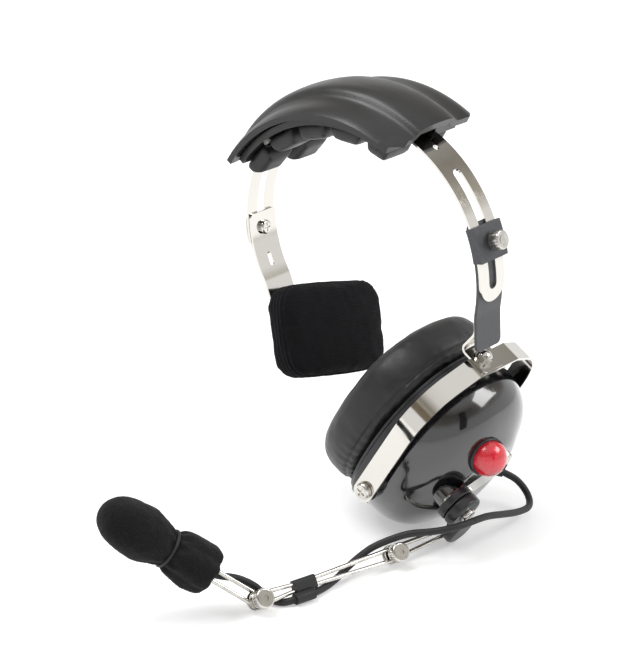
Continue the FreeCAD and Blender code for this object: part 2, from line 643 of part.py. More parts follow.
def oval(x, half_z, half_y, rise=RISE, power=2.3, count=32):
    """A closed smooth oval, fuller than an ellipse, square to x."""
    points = []
    for i in range(count):
        t = 2 * math.pi * i / count
        c, s = math.cos(t), math.sin(t)
        y = half_y * abs(s) ** (2 / power) * (1 if s >= 0 else -1)
        z = half_z * abs(c) ** (2 / power) * (1 if c >= 0 else -1)
        points.append(V(x, y, z + rise))
    curve = Part.BSplineCurve()
    curve.interpolate(points, PeriodicFlag=True)
    return Part.Wire([curve.toShape()])


def oval_block(x0, x1, half_z, half_y):
    return Part.Face(oval(x0, half_z, half_y)).extrude(V(x1 - x0, 0, 0))


RIM_IN, RIM_OUT = -12.0, -3.0
RIM_SECTIONS = [(RIM_IN, 50.8, 44.3), (-10.8, 52.0, 45.5), (-4.0, 52.0, 45.5), (RIM_OUT, 51.2, 44.7)]
DOME_SECTIONS = [(RIM_OUT, 50.2, 43.6), (6.0, 49.8, 43.2), (10.0, 49.0, 42.4), (15.0, 47.1, 40.5), (20.0, 43.6, 37.1),
                 (25.0, 37.2, 31.0), (28.5, 30.6, 25.0), (31.0, 23.0, 18.4)]
WALL = 2.4

rim_solid = Part.makeLoft([oval(*s) for s in RIM_SECTIONS], True, True)
rim = rim_solid.cut(oval_block(RIM_IN - 1, RIM_OUT + 1, 44.0, 37.5))
rim = rim.cut(oval_block(RIM_IN - 1, RIM_IN + 2.0, 46.5, 40.0))

dome_solid = Part.makeLoft([oval(*s) for s in DOME_SECTIONS], True, False)
dome_solid = rounded(dome_solid, 2.5, lambda e: e.CenterOfMass.x > 30.9)
inner_sections = [(x - (0 if i < 2 else 0.6 * WALL if i < 5 else WALL), z - WALL, y - WALL)
                  for i, (x, z, y) in enumerate(DOME_SECTIONS)]
inner_sections[0] = (RIM_OUT - 1.0, DOME_SECTIONS[0][1] - WALL, DOME_SECTIONS[0][2] - WALL)
dome_inside = Part.makeLoft([oval(*s) for s in inner_sections], True, False)
dome = dome_solid.cut(dome_inside)
# The two bosses that take the pivot screws
BOSS_END = ARM_Y - 1.8
for side in (-1, 1):
    boss = rod(6.2, V(0, side * 40, 0), V(0, side * BOSS_END, 0))
    dome = dome.fuse(boss.cut(rim_solid).cut(oval_block(RIM_IN, RIM_OUT, 53, 44.6)))
for side in (-1, 1):
    dome = dome.cut(rod(PIVOT_R, V(0, side * 34, 0), V(0, side * 60, 0)))

# Push button on the upper outer flank of the dome
BUTTON_AT = V(28.9, -10.9, 41.3)
BUTTON_OUT = V(0.825, -0.33, 0.458)
button_local = frame(BUTTON_AT, V(0, 1, 0), BUTTON_OUT)
button_frame = CUP.multiply(button_local)
BEZEL_R = 10.4
WELL_R = 9.6
CAP_R = 9.35
BARREL_R = 8.0
TRAVEL = 2.5
CAP_LOW = 3.2
bezel = Part.makeCylinder(BEZEL_R, 9.5, V(0, 0, -6))
bezel = rounded(bezel, 0.9, lambda e: e.CenterOfMass.z > 3.4)
dome_in_button = put(dome_solid, button_local.inverse())
bezel = bezel.cut(dome_in_button)
bezel = union(bezel, Part.makeCylinder(BARREL_R, 12.5, V(0, 0, -12)))
bezel = bezel.cut(Part.makeCylinder(WELL_R, 5, V(0, 0, 0.6)))
bezel = bezel.cut(Part.makeCylinder(6.5, 20, V(0, 0, -13)))
bezel_solids = sorted(bezel.Solids, key=lambda s: -s.Volume)
bezel = bezel_solids[0]
barrel_tool = put(Part.makeCylinder(BARREL_R, 20, V(0, 0, -14)), button_local)
dome = dome.cut(barrel_tool)
dome = dome.cut(put(Part.makeCylinder(WELL_R, 12.0, V(0, 0, 0.6)), button_local))
lock_nut = hexagon(20.0, V(0, 0, -9.4), V(0, 0, -6.4))
lock_nut = lock_nut.cut(Part.makeCylinder(BARREL_R, 10, V(0, 0, -12)))
lock_nut = lock_nut.cut(put(dome, button_local.inverse()))
lock_nut = sorted(lock_nut.Solids, key=lambda s: -s.Volume)[0]
switch = Part.makeCylinder(6.5, 11.0, V(0, 0, -14))
switch = union(switch, box(-3.2, -2.4, -1.2, 1.2, -18, -14), box(2.4, 3.2, -1.2, 1.2, -18, -14))
switch = switch.cut(Part.makeCylinder(2.15, 9, V(0, 0, -11)))
CAP_CURVE = 9.9
ball = Part.makeSphere(CAP_CURVE, V(0, 0, CAP_LOW - 0.8))
cap = Part.makeCylinder(CAP_R, 14, V(0, 0, CAP_LOW)).common(ball)
cap = cap.cut(Part.makeCylinder(5.4, 1.6, V(0, 0, CAP_LOW)))
STEM_R = 2.0
cap = union(cap, Part.makeCylinder(STEM_R, CAP_LOW + 3.2 + 6.2, V(0, 0, -6.2)))
SPRING_R = 3.7
SPRING_WIRE = 0.35
spring_low = -3.0 + SPRING_WIRE
spring_high = CAP_LOW + 1.6 - SPRING_WIRE
TURNS = 4.5
QUARTERS = int(TURNS * 4)


def on_coil(quarter):
    a = math.pi / 2 * quarter
    height = spring_low + (spring_high - spring_low) * quarter / QUARTERS
    return V(SPRING_R * math.cos(a), SPRING_R * math.sin(a), height)


spring = bar([Part.Arc(on_coil(q), on_coil(q + 0.5), on_coil(q + 1)).toShape() for q in range(QUARTERS)], SPRING_WIRE)
print("button_spring gap between turns %.2f" % ((spring_high - spring_low) / TURNS - 2 * SPRING_WIRE))

# Bracket plate on the dome's outer face, with the boom's mount on its front end
PLATE_IN, PLATE_OUT = 31.0, 32.5
PLATE_TURN = 15.7
PLATE_MID = V(0, -2.6, 22.7)
bracket = box(PLATE_IN, PLATE_OUT, -27.5, 22.0, -12.5, 3.5)
bracket = rounded(bracket, 3.0, lambda e: abs(e.Length - 1.5) < 0.01)
bracket = put(bracket, Placement(PLATE_MID, Rotation(V(1, 0, 0), PLATE_TURN)))
bracket = bracket.cut(put(Part.makeCylinder(BEZEL_R + 0.4, 30, V(0, 0, -12)), button_local))
MOUNT_Y, MOUNT_Z = -23.5, 16.0
bracket_spots = [V(PLATE_OUT, 10.5, 25.0), V(PLATE_OUT, -8.5, 14.5)]
bracket_screws = []
for spot in bracket_spots:
    one = put(pan_screw(2.8, 1.5, 1.5, 5.2), frame(spot, V(0, 1, 0), V(1, 0, 0)))
    bracket_screws.append(one)
    tool = rod(1.5, spot - V(9, 0, 0), spot + V(2, 0, 0))
    bracket = bracket.cut(tool)
    dome = dome.cut(tool)

MOUNT_R = 10.0
BASE_OUT = 36.6
HUB_IN, HUB_OUT = 36.9, 43.0
mount = rod(MOUNT_R, V(PLATE_OUT, MOUNT_Y, MOUNT_Z), V(BASE_OUT, MOUNT_Y, MOUNT_Z))
mount = rounded(mount, 0.8, lambda e: abs(e.CenterOfMass.x - BASE_OUT) < 0.01)
below = rod(7.0, V(24.0, MOUNT_Y, MOUNT_Z), V(PLATE_IN, MOUNT_Y, MOUNT_Z)).cut(dome_solid)
below = sorted(below.Solids, key=lambda s: -s.Volume)[0]
BOOM_PIN_R = 2.5
pin_hole = rod(BOOM_PIN_R, V(20, MOUNT_Y, MOUNT_Z), V(50, MOUNT_Y, MOUNT_Z))
mount = mount.cut(pin_hole)
bracket = bracket.cut(pin_hole)
dome = dome.fuse(below).cut(pin_hole)
boom_pin = rod(BOOM_PIN_R, V(25.4, MOUNT_Y, MOUNT_Z), V(HUB_OUT + 0.3, MOUNT_Y, MOUNT_Z))
boom_pin = union(boom_pin, rod(4.3, V(HUB_OUT + 0.3, MOUNT_Y, MOUNT_Z), V(HUB_OUT + 2.3, MOUNT_Y, MOUNT_Z)))
boom_pin = rounded(boom_pin, 0.8, lambda e: e.CenterOfMass.x > HUB_OUT + 2.2)
boom_pin = boom_pin.cut(box(HUB_OUT + 1.5, HUB_OUT + 3, MOUNT_Y - 0.5, MOUNT_Y + 0.5, MOUNT_Z - 3.4, MOUNT_Z + 3.4))

# Jack for the radio cable, low on the rear flank, and the gland where the microphone lead leaves
JACK_AT = V(12.0, 36.2, -12.3)
JACK_OUT = V(0.40, 0.80, -0.45)
jack_local = frame(JACK_AT, V(1, 0, 0), JACK_OUT)
jack = Part.makeCylinder(6.4, 8.0, V(0, 0, -3.5)).cut(put(dome_solid, jack_local.inverse()))
jack = sorted(jack.Solids, key=lambda s: -s.Volume)[0]
jack = union(jack, Part.makeCylinder(5.0, 16.0, V(0, 0, -15.0)))
JACK_BORE = 3.25
JACK_DEEP = 15.0
jack = jack.cut(Part.makeCylinder(JACK_BORE, JACK_DEEP, V(0, 0, 4.5 - JACK_DEEP)))
dome = dome.cut(put(Part.makeCylinder(5.0, 24.0, V(0, 0, -16.0)), jack_local))
LEAD_R = 1.85
CORE_R = 1.4
GLAND_AT = V(21.5, 34.5, -1.0)
GLAND_OUT = V(0.78, 0.62, 0.0)
GLAND_TIP = 7.8
gland_local = frame(GLAND_AT, V(0, 0, 1), GLAND_OUT)
gland = union(Part.makeCylinder(3.9, 5.8, V(0, 0, -3.0)), Part.makeCone(3.4, 2.7, GLAND_TIP - 2.8, V(0, 0, 2.8)))
gland = gland.cut(put(dome_solid, gland_local.inverse()))
gland = sorted(gland.Solids, key=lambda s: -s.Volume)[0]
gland = union(gland, Part.makeCylinder(3.1, 6.0, V(0, 0, -5.0)))
gland = gland.cut(Part.makeCylinder(CORE_R, 20, V(0, 0, -8)))
dome = dome.cut(put(Part.makeCylinder(3.1, 12.0, V(0, 0, -7.0)), gland_local))

# Inside of the cup
baffle = oval_block(RIM_IN, RIM_IN + 2.0, 46.5, 40.0)
baffle = baffle.cut(rod(16.5, V(-20, 0, RISE), V(20, 0, RISE)))
driver_profile = [(-10.0, 15.0), (-10.0, 24.6), (-8.6, 24.6), (-8.6, 19.9), (-2.0, 13.0), (-2.0, 3.0), (-3.2, 3.0),
                  (-3.2, 11.8), (-8.8, 18.6), (-8.8, 15.0)]
driver = turned([(x, 0, RISE + r) for x, r in driver_profile], (0, 0, RISE), (1, 0, 0))
magnet = rod(12.5, V(-2.0, 0, RISE), V(4.6, 0, RISE))
magnet = rounded(magnet, 0.5, lambda e: True)
cone_profile = [(-8.8, 15.8), (-8.8, 17.6), (-8.2, 17.2), (-4.8, 4.6), (-5.8, 0.01), (-6.4, 0.01), (-5.4, 4.0),
                (-8.4, 15.4)]
cone = turned([(x, 0, RISE + r) for x, r in cone_profile], (0, 0, RISE), (1, 0, 0))
SCREW_RING = 22.4
driver_screws = []
for k in range(3):
    a = math.radians(90 + 120 * k)
    spot = V(-8.6, SCREW_RING * math.cos(a), RISE + SCREW_RING * math.sin(a))
    driver_screws.append(put(pan_screw(2.1, 1.2, 1.1, 3.2), frame(spot, V(0, 1, 0), V(1, 0, 0))))
    hole = rod(1.1, spot - V(5, 0, 0), spot + V(3, 0, 0))
    baffle = baffle.cut(hole)
    driver = driver.cut(hole)
liner = oval_block(6.0, 12.0, 60, 60).common(dome_inside)
liner = liner.cut(oval_block(5.0, 13.0, 35.0, 28.5))
liner = liner.cut(put(Part.makeCylinder(5.0, 24.0, V(0, 0, -16.0)), jack_local))
liner = liner.cut(put(Part.makeCylinder(3.1, 12.0, V(0, 0, -7.0)), gland_local))
board = box(4.6, 6.2, -9, 9, RISE - 6, RISE + 6)
lugs = [rod(0.9, V(6.2, y, RISE + z), V(7.6, y, RISE + z)) for y in (-6, 6) for z in (-3.5, 3.5)]
cushion_plate = oval_block(RIM_IN - 1.2, RIM_IN, 50.6, 44.2).cut(oval_block(RIM_IN - 3, RIM_IN + 1, 33.0, 26.0))
cloth = oval_block(RIM_IN - 0.6, RIM_IN, 33.0, 26.0)

# Ear cushion: a thick oval ring with a crowned face and drawn-in sides, its face to the head
CUSHION_BACK = RIM_IN - 1.2
CUSHION_FACE = -41.0
CUSHION_RISE = 20.0
OUTER_PAD = [(CUSHION_BACK, 47.8, 43.8), (-16.5, 50.8, 46.8), (-22.5, 52.2, 48.2), (-30.0, 52.1, 48.1),
             (-36.0, 50.3, 46.3), (-39.6, 46.4, 42.4), (CUSHION_FACE, 41.0, 37.0)]
INNER_PAD = [(CUSHION_BACK + 1, 31.5, 25.0), (-20.0, 29.8, 23.3), (-28.0, 29.0, 22.5), (-35.0, 29.6, 23.1),
             (-39.2, 31.8, 25.3), (CUSHION_FACE - 1, 37.0, 31.0)]
ring_pad = Part.makeLoft([oval(x, z, y, CUSHION_RISE) for x, z, y in OUTER_PAD], True, False)
ring_pad = ring_pad.cut(Part.makeLoft([oval(x, z, y, CUSHION_RISE) for x, z, y in INNER_PAD], True, False))

# Pivot screws through the stirrup's arms into the rim's bosses
pivot_screws = []
bushes = []
for side in (-1, 1):
    seat = V(0, side * (ARM_Y + STIRRUP_T / 2 + 0.9), 0)
    pivot_screws.append(put(pan_screw(4.4, 2.2, PIVOT_R, 12.5), frame(seat, V(1, 0, 0), V(0, side, 0))))
    bushes.append(tube(5.0, PIVOT_R, V(0, side * BOSS_END, 0), V(0, side * (ARM_Y - STIRRUP_T / 2 - 0.25), 0)))
    bushes.append(tube(4.6, PIVOT_R, V(0, side * (ARM_Y + 1.0), 0), V(0, side * (ARM_Y + STIRRUP_T / 2 + 0.9), 0)))

save("cup_rim", rim, CUP)
save("cup_dome", dome, CUP)
save("pivot_screws", pivot_screws, CUP)
save("pivot_washers", bushes, CUP)
save("baffle_plate", baffle, CUP)
save("driver_frame", driver, CUP)
save("driver_magnet", magnet, CUP)
save("driver_cone", cone, CUP)
save("driver_screws", driver_screws, CUP)
save("foam_liner", liner, CUP)
save("terminal_board", [board] + lugs, CUP)
save("cushion_plate", cushion_plate, CUP)
save("ear_cloth", cloth, CUP)
save("ear_cushion", ring_pad, CUP)
save("button_bezel", [bezel, lock_nut], button_frame)
save("switch_body", switch, button_frame)
save("button_cap", cap, button_frame)
save("button_spring", spring, button_frame)
save("boom_bracket", bracket, CUP)
save("bracket_screws", bracket_screws, CUP)
save("boom_mount", mount, CUP)
save("boom_pin", boom_pin, CUP)
save("jack_socket", jack, CUP.multiply(jack_local))
save("lead_gland", gland, CUP.multiply(gland_local))

# Boom: knuckle on the mount, wire loop, wire link, microphone arm; two clamp screws with thumb knobs

KNOB_1 = V(54.0, -49.4, -147.9)
KNOB_2 = V(33.5, -129.1, -147.9)
MIC_END = V(-15.94, -186.4, -91.3)
link_dir = KNOB_2 - KNOB_1
LINK = link_dir.Length
link_dir.normalize()
mic_dir = MIC_END - KNOB_2
mic_dir.normalize()
boom_normal = mic_dir.cross(link_dir)
boom_normal.normalize()
link_frame = frame(KNOB_1, link_dir, boom_normal)
mic_frame = frame(KNOB_2, mic_dir, boom_normal)
WIRE_R = 1.1
LOOP_R = 2.85
LOOP_HALF = 3.0
LOBE_GAP = 1.35
CLIP_GAP = 1.7
MIC_GAP = 2.8
LOW_LAYER = -6.4
HIGH_LAYER = -3.2
PIN_R = 1.5
WASHER_R = 4.8
CLIP_AT = 56.0
LOBE = V(41.0, -15.0, -2.0)
LOBE_R = 9.0

lobe_world = CUP.multVec(LOBE)
to_lobe = lobe_world - KNOB_1
to_lobe = to_lobe - boom_normal * to_lobe.dot(boom_normal)
ROOT = to_lobe.Length
root_frame = frame(KNOB_1, to_lobe, boom_normal)


def wire_loop(length, half_loop, half_end, level):
    """Two wires joined by a bend about the origin, running along x to their ends."""
    g = half_loop
    corners = [V(length, half_end, level), V(-g, g, level), V(-g, -g, level), V(length, -half_end, level)]
    return bar(bent_path(corners, [0.985 * LOOP_R, 0.985 * LOOP_R]), WIRE_R)


def wire_link(length, half_loop, half_clip, level):
    """A closed link of wire about two centres, drawn together at the clip."""
    g, c = half_loop, half_clip
    row = [(-g, g), (CLIP_AT - 8, c), (CLIP_AT + 8, c), (length + g, g)]
    corners = [V(x, y, level) for x, y in row] + [V(x, -y, level) for x, y in reversed(row)]
    loop, bend = 0.985 * LOOP_R, 30.0
    return bar(bent_path(corners, [loop, bend, bend, loop, loop, bend, bend, loop], True), WIRE_R)


root_wire = wire_loop(ROOT - 1.0, LOOP_HALF, LOBE_GAP, LOW_LAYER)
link_wire = wire_link(LINK, LOOP_HALF, CLIP_GAP, HIGH_LAYER)
MIC_WIRE = 60.0
mic_wire = wire_loop(MIC_WIRE, MIC_GAP, MIC_GAP, LOW_LAYER)


def washer(level, height):
    ring = Part.makeCylinder(WASHER_R, height, V(0, 0, level))
    return ring.cut(Part.makeCylinder(PIN_R, height + 2, V(0, 0, level - 1)))


# Each elbow from below: screw head, washer, wire of the root or the microphone arm, washer, link, washer, knob
low_washer = washer(LOW_LAYER - WIRE_R - 0.8, 0.8)
low_washer = low_washer.cut(Part.makeCylinder(PIN_R + 0.06, 4, V(0, 0, LOW_LAYER - WIRE_R - 2)))
mid_low = LOW_LAYER + WIRE_R + 0.15
mid_washer = washer(mid_low, HIGH_LAYER - WIRE_R - mid_low)
top_washer = washer(HIGH_LAYER + WIRE_R, 0.8)
screw_low = LOW_LAYER - WIRE_R - 0.8 - 0.1
KNOB_HEIGHT = 4.35
knob_low = HIGH_LAYER + WIRE_R + 0.95
elbow_screw = union(Part.makeCylinder(PIN_R, knob_low + KNOB_HEIGHT - 0.6 - screw_low, V(0, 0, screw_low)),
                    Part.makeCylinder(3.2, 1.2, V(0, 0, screw_low - 1.2)))
KNOB_R = 5.0
knob = Part.makeCylinder(KNOB_R, KNOB_HEIGHT, V(0, 0, knob_low))
knob = rounded(knob, 0.9, lambda e: e.CenterOfMass.z > knob_low + 1)
for i in range(24):
    a = 2 * math.pi * i / 24
    knob = knob.cut(Part.makeCylinder(0.3, 2.4, V(KNOB_R * math.cos(a), KNOB_R * math.sin(a), knob_low + 0.6)))
knob = knob.cut(Part.makeCylinder(PIN_R + 0.06, 9, V(0, 0, knob_low - 1)))
second = Placement(V(LINK, 0, 0), Rotation())
save("root_wire", [root_wire, low_washer], root_frame)
save("link_wire", link_wire, link_frame)
save("link_washers", [mid_washer, top_washer, put(mid_washer, second), put(top_washer, second)], link_frame)
save("link_screws", [elbow_screw, put(elbow_screw, second)], link_frame)
save("elbow_knob_rear", knob, link_frame)
save("elbow_knob_front", put(knob, second), link_frame)

# Knuckle: hub on the mount's pin and a lower lobe that grips the two wire ends
hub = rod(MOUNT_R, V(HUB_IN, MOUNT_Y, MOUNT_Z), V(HUB_OUT, MOUNT_Y, MOUNT_Z))
lobe = rod(LOBE_R, V(37.6, LOBE.y, LOBE.z), V(44.4, LOBE.y, LOBE.z))
hub = rounded(hub, 1.4, lambda e: True)
lobe = rounded(lobe, 2.2, lambda e: True)
across = V(0, LOBE.y - MOUNT_Y, LOBE.z - MOUNT_Z)
web = Part.makeBox(across.Length, 12.0, HUB_OUT - HUB_IN - 1.6, V(0, -6.0, 0))
web = put(web, frame(V(HUB_IN + 0.8, MOUNT_Y, MOUNT_Z), across, V(1, 0, 0)))
knuckle = union(hub, web, lobe)
knuckle = knuckle.cut(rod(BOOM_PIN_R + 0.06, V(30, MOUNT_Y, MOUNT_Z), V(50, MOUNT_Y, MOUNT_Z)))
knuckle = put(knuckle, CUP)
knuckle = knuckle.cut(put(root_wire, root_frame))
save("boom_knuckle", knuckle)

# Microphone: housing on the wire ends, capsule and grille inside, foam muff with a tie
HOUSE_0, HOUSE_1 = 56.0, 80.0
HOUSE_Y, HOUSE_Z = 5.4, 3.9
CAPSULE_AT = 71.0
CAPSULE_R = 4.6
house_top = LOW_LAYER + HOUSE_Z
housing = box(HOUSE_0, HOUSE_1, -HOUSE_Y, HOUSE_Y, LOW_LAYER - HOUSE_Z, house_top)
housing = rounded(housing, 1.8, lambda e: abs(e.Length - (HOUSE_1 - HOUSE_0)) < 0.01)
housing = housing.cut(Part.makeCylinder(CAPSULE_R, 5.0, V(CAPSULE_AT, 0, house_top - 4.0)))
housing = housing.cut(mic_wire)
capsule = Part.makeCylinder(CAPSULE_R, 3.2, V(CAPSULE_AT, 0, house_top - 4.0))
grille = Part.makeCylinder(CAPSULE_R, 0.8, V(CAPSULE_AT, 0, house_top - 0.8))
for i in range(6):
    a = math.radians(60 * i)
    spot = V(CAPSULE_AT + 2.6 * math.cos(a), 2.6 * math.sin(a), house_top - 2)
    grille = grille.cut(Part.makeCylinder(0.7, 4, spot))
grille = grille.cut(Part.makeCylinder(0.7, 4, V(CAPSULE_AT, 0, house_top - 2)))

MUFF_PROFILE = [(28.5, 11.4), (31.5, 12.4), (37.5, 12.9), (44.0, 12.3), (49.5, 10.6), (53.0, 8.9), (56.8, 10.3),
                (62.5, 12.5), (70.0, 13.4), (77.5, 13.0), (84.8, 10.8), (89.8, 6.8), (92.2, 0.0)]
MUFF_0, MUFF_1 = MUFF_PROFILE[0][0], MUFF_PROFILE[-1][0]
MUFF_MOUTH = 5.7
MUFF_BORE = 6.9
muff_curve = Part.BSplineCurve()
muff_curve.interpolate([V(s, r, 0) for s, r in MUFF_PROFILE])
muff_row = [V(MUFF_1, 0, 0), V(84, 0, 0), V(84, MUFF_BORE, 0), V(52, MUFF_BORE, 0), V(48, MUFF_MOUTH, 0),
            V(MUFF_0, MUFF_MOUTH, 0), V(MUFF_0, MUFF_PROFILE[0][1], 0)]
muff_edges = [muff_curve.toShape()] + [Part.makeLine(a, b) for a, b in zip(muff_row[:-1], muff_row[1:])]
muff = Part.Face(Part.Wire(Part.sortEdges(muff_edges)[0])).revolve(V(0, 0, 0), V(1, 0, 0), 360)
muff.translate(V(0, 0, LOW_LAYER))
TIE_R, TIE_WIRE, TIE_CLEAR = 9.4, 0.8, 0.15
tie = Part.makeTorus(TIE_R, TIE_WIRE, V(53.0, 0, LOW_LAYER), V(1, 0, 0))
muff = muff.cut(Part.makeTorus(TIE_R, TIE_WIRE + TIE_CLEAR, V(53.0, 0, LOW_LAYER), V(1, 0, 0)))
save("mic_wire", [mic_wire, low_washer], mic_frame)
save("mic_housing", housing, mic_frame)
save("mic_capsule", [capsule, grille], mic_frame)
save("mic_muff", muff, mic_frame)
save("muff_tie", tie, mic_frame)

# Lead from the gland to the microphone, one stretch for each moving body; its points are chosen by hand
LEAD_CUP = [(32.4, 43.1, -1.2), (38.3, 44.5, -1.8), (44.3, 43.1, -2.0), (49.0, 39.3, -1.3), (51.7, 33.8, 0.0),
            (52.3, 25.0, 2.8), (52.0, 14.5, 6.4), (50.9, 4.0, 10.0), (49.6, -5.5, 13.0), (48.5, -14.5, 15.3),
            (47.8, -23.35, 15.9)]
LEAD_ROOT = [(47.77, -23.65, 15.92), (47.1, -31.5, 16.5), (43.8, -38.6, 13.0), (38.4, -43.5, 7.2), (31.8, -49.5, 1.8),
             (28.9, -53.1, -3.24)]
LEAD_LINK = [(7.5, -7.2, -5.6), (17.5, -4.2, -8.0), (26.0, -0.9, -8.5), (36.0, 3.2, -7.2), (47.9, 5.4, -3.7),
             (59.5, 5.4, -1.0), (65.5, 5.6, -2.4), (70.0, 5.1, -5.3), (73.5, 2.2, -8.4), (76.2, -2.9, -9.9),
             (78.4, -5.7, -9.7)]
LEAD_MIC = [(4.3, -7.2, -9.6), (13.0, -6.0, -9.6), (21.5, -2.3, -9.8), (30.0, 0.0, -8.6), (42.9, 0.3, -8.4),
            (HOUSE_0, 0.0, -8.5)]
LEAD_GAP = 0.05


def step_on(point, towards):
    """The start of the next stretch, a hair on from the end of the last one."""
    return point + (towards - point).normalize() * LEAD_GAP


gland_tip = gland_local.multVec(V(0, 0, GLAND_TIP))
cup_route = [CUP.multVec(gland_tip)] + [CUP.multVec(V(*p)) for p in LEAD_CUP]
root_route = [CUP.multVec(V(*p)) for p in LEAD_ROOT]
link_points = [link_frame.multVec(V(*p)) for p in LEAD_LINK]
link_route = [step_on(root_route[-1], link_points[0])] + link_points
mic_points = [mic_frame.multVec(V(*p)) for p in LEAD_MIC]
mic_route = [step_on(link_route[-1], mic_points[0])] + mic_points
lead_link = cord("lead_link", link_route, LEAD_R)
save("lead_cup", cord("lead_cup", cup_route, LEAD_R))
save("lead_root", cord("lead_root", root_route, LEAD_R))
save("lead_link", lead_link)
save("lead_mic", cord("lead_mic", mic_route, LEAD_R))

# Clip: one sleeve round the two wires, joined to a round one that holds the lead
CLIP_HALF = 6.2
SLEEVE_R = 2.85
clip = box(CLIP_AT - CLIP_HALF, CLIP_AT + CLIP_HALF, -3.6, 3.4, HIGH_LAYER - 2.3, HIGH_LAYER + 2.3)
clip = rounded(clip, 1.7, lambda e: abs(e.Length - 2 * CLIP_HALF) < 0.01)
clip = clip.fuse(rod(SLEEVE_R, V(CLIP_AT - 2.5, 5.4, -1.2), V(CLIP_AT + 8.5, 5.4, -1.2)))
clip = clip.removeSplitter().cut(link_wire)
save("lead_clip", put(clip, link_frame).cut(lead_link))


def check(name, shape):
    """Say what is wrong with a node, and how big it is."""
    bounds = shape.optimalBoundingBox(False)
    count = len(shape.Solids)
    state = "ok" if shape.isValid() and count else "BAD"
    print("%-20s %-4s solids %d  vol %9.1f  x %7.1f %7.1f  y %7.1f %7.1f  z %7.1f %7.1f" % (
        name, state, count, shape.Volume, bounds.XMin, bounds.XMax, bounds.YMin, bounds.YMax, bounds.ZMin, bounds.ZMax))
    return bounds


total = FreeCAD.BoundBox()
for name, shape in parts.items():
    placed = shape.copy()
    placed.translate(TO_PLATE)
    total.add(check(name, placed))
    placed.exportStep(os.path.join("parts", name + ".step"))
print("nodes", len(parts), "box", total, "centre", total.Center)
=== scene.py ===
import json
import math

import bpy
from mathutils import Matrix, Vector, noise

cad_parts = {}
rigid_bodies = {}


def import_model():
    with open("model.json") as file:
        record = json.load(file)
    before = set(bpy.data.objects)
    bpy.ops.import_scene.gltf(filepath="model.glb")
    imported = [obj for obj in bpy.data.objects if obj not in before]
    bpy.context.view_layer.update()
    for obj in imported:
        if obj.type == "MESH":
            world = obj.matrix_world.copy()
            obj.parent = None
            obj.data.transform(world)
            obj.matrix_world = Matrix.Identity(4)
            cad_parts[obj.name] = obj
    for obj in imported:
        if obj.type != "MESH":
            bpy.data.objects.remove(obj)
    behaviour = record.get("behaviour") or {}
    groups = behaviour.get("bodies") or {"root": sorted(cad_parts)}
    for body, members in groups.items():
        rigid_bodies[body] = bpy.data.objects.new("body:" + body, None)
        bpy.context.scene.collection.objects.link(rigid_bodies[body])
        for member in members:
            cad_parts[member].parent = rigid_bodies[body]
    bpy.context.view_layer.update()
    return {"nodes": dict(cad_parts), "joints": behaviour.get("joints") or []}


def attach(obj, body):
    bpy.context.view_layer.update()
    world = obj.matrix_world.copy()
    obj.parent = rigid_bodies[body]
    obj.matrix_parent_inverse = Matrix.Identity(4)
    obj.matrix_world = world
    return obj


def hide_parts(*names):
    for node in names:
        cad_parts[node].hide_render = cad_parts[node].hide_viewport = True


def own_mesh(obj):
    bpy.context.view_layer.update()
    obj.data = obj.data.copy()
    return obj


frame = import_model()

bl_info = {
    "name": "One-sided Headset Looks",
    "version": (1, 0, 0),
    "blender": (4, 5, 0),
    "location": "3D View > Sidebar > Headset",
    "description": "Finishes, soft parts, lead and studio for a one-sided headset with a boom microphone",
    "category": "Object",
}

MM = 0.001
JOINTS = {joint["name"]: joint for joint in frame["joints"]}

# The photograph's frame and view; lengths in millimetres, angles in degrees
PICTURE = (632, 664)
SENSOR = 36.0
CAMERA_AZIMUTH = 40.0
CAMERA_HEIGHT = 22.0
CAMERA_DISTANCE = 1150.0
PIXELS_PER_MM = 1.97
HEAD_CENTRE = (-2.532, 65.675, 156.7)
HEAD_CENTRE_PIXEL = (378.5, 226.7)

# The lead: its radius and the points of its route, in the frames of the pieces that it passes
LEAD_RADIUS = 1.85
GLAND_AT = (21.5, 34.5, -1.0)
GLAND_OUT = (0.78, 0.62, 0.0)
GLAND_TIP = 7.8
LEAD_CUP = [(32.4, 43.1, -1.2), (38.3, 44.5, -1.8), (44.3, 43.1, -2.0), (49.0, 39.3, -1.3), (51.7, 33.8, 0.0),
            (52.3, 25.0, 2.8), (52.0, 14.5, 6.4), (50.9, 4.0, 10.0), (49.6, -5.5, 13.0), (48.5, -14.5, 15.3),
            (47.8, -23.35, 15.9)]
LEAD_ROOT = [(47.77, -23.65, 15.92), (47.1, -31.5, 16.5), (43.8, -38.6, 13.0), (38.4, -43.5, 7.2),
             (31.8, -49.5, 1.8), (28.9, -53.1, -3.24)]
LEAD_LINK = [(7.5, -7.2, -5.6), (17.5, -4.2, -8.0), (26.0, -0.9, -8.5), (36.0, 3.2, -7.2), (47.9, 5.4, -3.7),
             (59.5, 5.4, -1.0), (65.5, 5.6, -2.4), (70.0, 5.1, -5.3), (73.5, 2.2, -8.4), (76.2, -2.9, -9.9),
             (78.4, -5.7, -9.7)]
LEAD_MIC = [(4.3, -7.2, -9.6), (13.0, -6.0, -9.6), (21.5, -2.3, -9.8), (30.0, 0.0, -8.6), (42.9, 0.3, -8.4),
            (56.0, 0.0, -8.5)]

# Turns of the pieces' own frames that no joint gives
PAD_ROLL = -13.0
CUP_LEAN = 32.0
MIC_END = (-18.472, -120.725, 65.4)

# The air that fills a cushion: how finely and how long it is worked out, and what its cover weighs
AIR_QUALITY = 6
AIR_FRAMES = 20
COVER_MASS = 0.3

# The paper of the speaker's cone
PAPER_COLOUR = (0.09, 0.08, 0.07)

